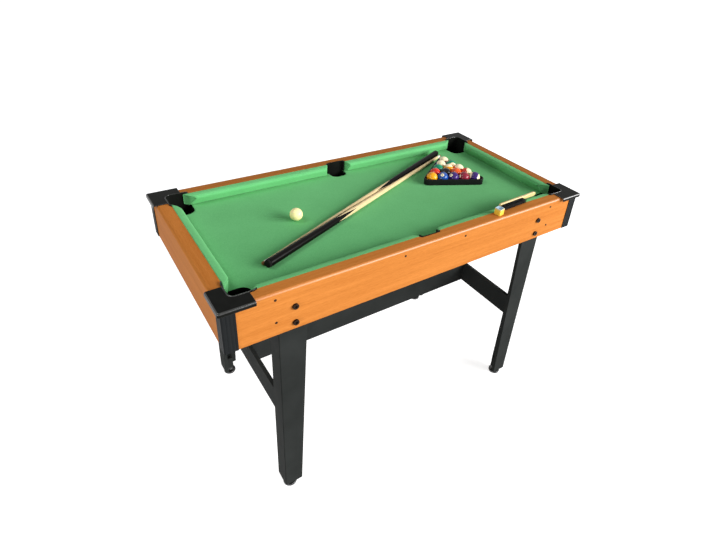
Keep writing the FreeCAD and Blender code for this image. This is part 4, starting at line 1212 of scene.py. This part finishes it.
for name, side, butt in (("cue_1", -1, 0.285), ("cue_2", 1, 0.330)):
    mesh = cue_mesh(name + "_lacquered", side)
    lacquer = lacquered_cue(name + "_lacquer", butt, POINT_LENGTH)
    fitted(name + "_lacquered", mesh, name, lacquer, [name])


# Table brush
# A beech back with a rounded grip, drilled in four rows and set with black nylon tufts. It
# lies on its side on the front rail, with the bristles towards the player.

BRUSH_PLACE = (0.286, -0.253)
BRUSH_TURN = 3
GRIP_END = 0.158
BACK_STEPS = 40
HAIR_ROOT = 0.00017
HAIR_TIP = 0.00009
HAIRS = 26
BRUSH_REST = RAIL_TOP + REST_GAP


def brush_in_place(points):
    """Brush points, drawn from its left end, turned and carried to the rail."""
    return turned_about(points, BRUSH_TURN) + (*BRUSH_PLACE, BRUSH_REST)


def brush_back_mesh():
    """The wooden back as a rounded section carried along its length.

    The section is a superellipse |y|^4 + |z|^4 = 1 stretched to the back's thickness and
    height, which narrow at the waist beyond the bristles and swell again to a round end.
    """
    handle_end = GRIP_END + 0.0137 * np.sin(np.linspace(0.05, 1.5708, 14))
    along = np.concatenate([[0.0, 0.0008, 0.0025], np.linspace(0.006, GRIP_END, 60), handle_end])
    angle = np.arange(BACK_STEPS) * 2 * math.pi / BACK_STEPS
    corner = [np.abs(f(angle)) ** 0.5 * np.sign(f(angle)) for f in (np.cos, np.sin)]
    waist = np.exp(-((along - 0.118) / 0.012) ** 2)
    close = np.sqrt(np.clip(1 - ((along - GRIP_END).clip(0) / 0.0139) ** 2, 0.0001, 1))
    rounding = 0.86 + 0.14 * np.sin(np.clip(along / 0.0025, 0, 1) * math.pi / 2)
    start = np.where(along < 0.003, rounding, 1)
    thick = 0.0039 * start * np.where(along > GRIP_END, 0.55 + 0.45 * close, 1)
    tall = 0.0074 * start * (1 - 0.14 * waist) * close
    y = 0.0040 + thick[:, None] * corner[0]
    z = 0.0075 + tall[:, None] * corner[1]
    rings = np.stack([np.repeat(along[:, None], BACK_STEPS, 1), y, z], 2)
    ends = [np.repeat(rings[row].mean(0)[None, None], BACK_STEPS, 1) for row in (0, -1)]
    rings = np.concatenate([ends[0], rings, ends[1]])
    rows, columns = rings.shape[:2]
    points = brush_in_place(rings.reshape(-1, 3))
    return mesh_from("brush_back_turned", points, quads(rows, columns))


def bristle_mesh():
    """Tufts in four rows, each a splayed sheaf of nylon hairs that are thin three-sided cones.

    A hair's root lies within its tuft's 1.6 mm hole and its end is root + length * direction,
    where the direction leans out with the root's own place in the hole.
    """
    random = np.random.default_rng(5)
    holes_at = np.meshgrid(np.linspace(0.0042, 0.0998, 25), np.linspace(0.0024, 0.0106, 4))
    hole_x, hole_z = [g.ravel() for g in holes_at]
    count = len(hole_x) * HAIRS
    radius = 0.0012 * np.sqrt(random.uniform(0, 1, count))
    angle = random.uniform(0, 2 * math.pi, count)
    dx = radius * np.cos(angle)
    dz = radius * np.sin(angle)
    holes = np.repeat(hole_x, HAIRS), np.repeat(hole_z, HAIRS)
    root = np.stack([holes[0] + dx, np.full(count, 0.0004), holes[1] + dz], 1)
    reach = 0.0188 + random.uniform(-0.0010, 0.0, count)
    lean_x = dx * 1.1 + random.normal(0, 0.0004, count)
    lean_z = dz * 0.5 + random.normal(0, 0.0003, count)
    tip = root + np.stack([lean_x, -reach, lean_z], 1)
    tip[:, 0] = np.clip(tip[:, 0], 0.0002, 0.1038)
    tip[:, 2] = np.clip(tip[:, 2], 0.0001, 0.0129)
    root[:, 2] = np.clip(root[:, 2], 0.0003, 0.0127)
    third = 2 * math.pi / 3 * np.arange(3)
    ring = np.stack([np.cos(third), np.zeros(3), np.sin(third)], 1)
    wide = root[:, None] + HAIR_ROOT * ring
    narrow = tip[:, None] + HAIR_TIP * ring
    wide[:, :, 2] = wide[:, :, 2].clip(0, None)
    narrow[:, :, 2] = narrow[:, :, 2].clip(0, None)
    points = np.concatenate([wide, narrow], 1).reshape(-1, 3)
    base = np.arange(count)[:, None] * 6
    sides = np.concatenate([base + np.array([n, (n + 1) % 3, 3 + (n + 1) % 3, 3 + n]) for n in range(3)])
    caps = base + np.array([3, 4, 5])
    return mesh_from("brush_bristles_set", brush_in_place(points), [sides, caps])


def lacquered_beech():
    """Clear-lacquered beech: pale yellow, with short darker ray flecks along the grain."""
    material, tree, place = new_material("lacquered_beech")
    grain = speckle(tree, place, (26, 260, 260), 5)
    flecks = speckle(tree, place, (300, 1500, 1500), 1)
    base = between(tree, grain, "#CFAF6E", "#E2CB93")
    dark = between(tree, flecks, "#B98F50", "#E2CB93", 0.3, 0.5)
    colour = add(tree, "Mix", {"Factor": 0.3, 6: base, 7: dark}, data_type="RGBA")
    return shade(material, colour, 0.35, {"IOR": 1.5}, grain, 0.00003)


def black_bristle():
    """Nylon bristle: black with a silky line of light along each hair."""
    material, tree, place = new_material("black_nylon_bristle")
    colour = between(tree, speckle(tree, place, 800.0), "#0C0C0D", "#1D1C1C", 0, 1)
    return shade(material, colour, 0.38, {"IOR": 1.53})


fitted("brush_back_turned", brush_back_mesh(), "brush", lacquered_beech(), ["brush_back"])
fitted("brush_bristles_set", bristle_mesh(), "brush", black_bristle(), ["brush_bristles"])


# Chalk
# A 22 mm cube of pressed blue chalk in plain yellow paper. Use has worn its top to a shallow
# bowl, and dust has settled on the paper's upper edge.

CHALK_PLACE = (0.256, -0.276)
CHALK_TURN = 10
CHALK_SIDE = 0.022
QUARTER_STEPS = 6


def squared_ring(half, radius, steps):
    """A square path with rounded corners, with the same number of points along each quarter."""
    quarter = np.linspace(0, math.pi / 2, steps)
    runs = []
    for corner in range(4):
        angle = quarter + corner * math.pi / 2
        sign_x = 1 if corner in (0, 3) else -1
        sign_y = 1 if corner in (0, 1) else -1
        x = sign_x * (half - radius) + radius * np.cos(angle)
        y = sign_y * (half - radius) + radius * np.sin(angle)
        runs.append(np.column_stack([x, y]))
    return np.concatenate(runs)


def chalk_parts():
    """The paper as rings up the sides and over the top edge, and the chalk as a worn bowl.

    Inside the paper the top follows z = 21.4 mm - 2.4 mm (1 - (r / R)^2), with r the distance
    from the middle and R the half side.
    """
    half = CHALK_SIDE / 2 - 0.0003
    sole = [(0.6, 0.0), (0.92, 0.0), (0.995, 0.0003), (1.0, 0.0010)]
    upper_edge = [(1.0, 0.0212), (0.99, 0.0216), (0.955, 0.0216), (0.945, 0.0209)]
    paper = []
    for share, z in sole + upper_edge:
        ring = squared_ring(half * share, 0.0016 * share, QUARTER_STEPS)
        paper.append(np.column_stack([ring, np.full(len(ring), z)]))
    rings = []
    for share in np.linspace(0.95, 0.0, 14):
        ring = squared_ring(half * share, 0.0016 + 0.006 * (1 - share) * share, QUARTER_STEPS)
        r = np.hypot(*ring.T) / half
        rings.append(np.column_stack([ring, 0.0214 - 0.0024 * (1 - np.clip(r, 0, 1) ** 2)]))
    place = (*CHALK_PLACE, BRUSH_REST)
    return [turned_about(np.stack(part), CHALK_TURN) + place for part in (paper, rings)]


def wrapper_paper():
    """Glazed yellow paper: bright, faintly creased, dusted with blue towards the top."""
    material, tree, place = new_material("yellow_wrapper_paper")
    crease = speckle(tree, place, 260.0, 4)
    height = add(tree, "SeparateXYZ", {0: place}).outputs["Z"]
    rising = {"From Min": BRUSH_REST + 0.0165, "From Max": BRUSH_REST + 0.0215}
    dust = add(tree, "MapRange", {"Value": height, **rising})
    patchy = add(tree, "Math", {0: dust, 1: crease}, operation="MULTIPLY")
    paper = between(tree, crease, "#E0B02C", "#F0C640")
    colour = add(tree, "Mix", {"Factor": patchy, 6: paper, 7: linear("#9DB9CC")}, data_type="RGBA")
    return shade(material, colour, 0.5, {"IOR": 1.5}, crease, 0.0001)


def pressed_chalk():
    """Pressed chalk: dry pale blue, powdery and pitted."""
    material, tree, place = new_material("pressed_blue_chalk")
    grit = speckle(tree, place, 900.0, 4)
    return shade(material, between(tree, grit, "#86AFCB", "#B9D4E4"), 0.95, {"IOR": 1.5}, grit, 0.0003)


chalk = chalk_parts()
mesh = turned_mesh("chalk_cube", chalk)
fitted("chalk_cube", mesh, "chalk", [wrapper_paper(), pressed_chalk()], ["chalk"])
finish_by_part(mesh, chalk)


# View
# Colours are shown as they are.

bpy.context.scene.view_settings.view_transform = "Standard"
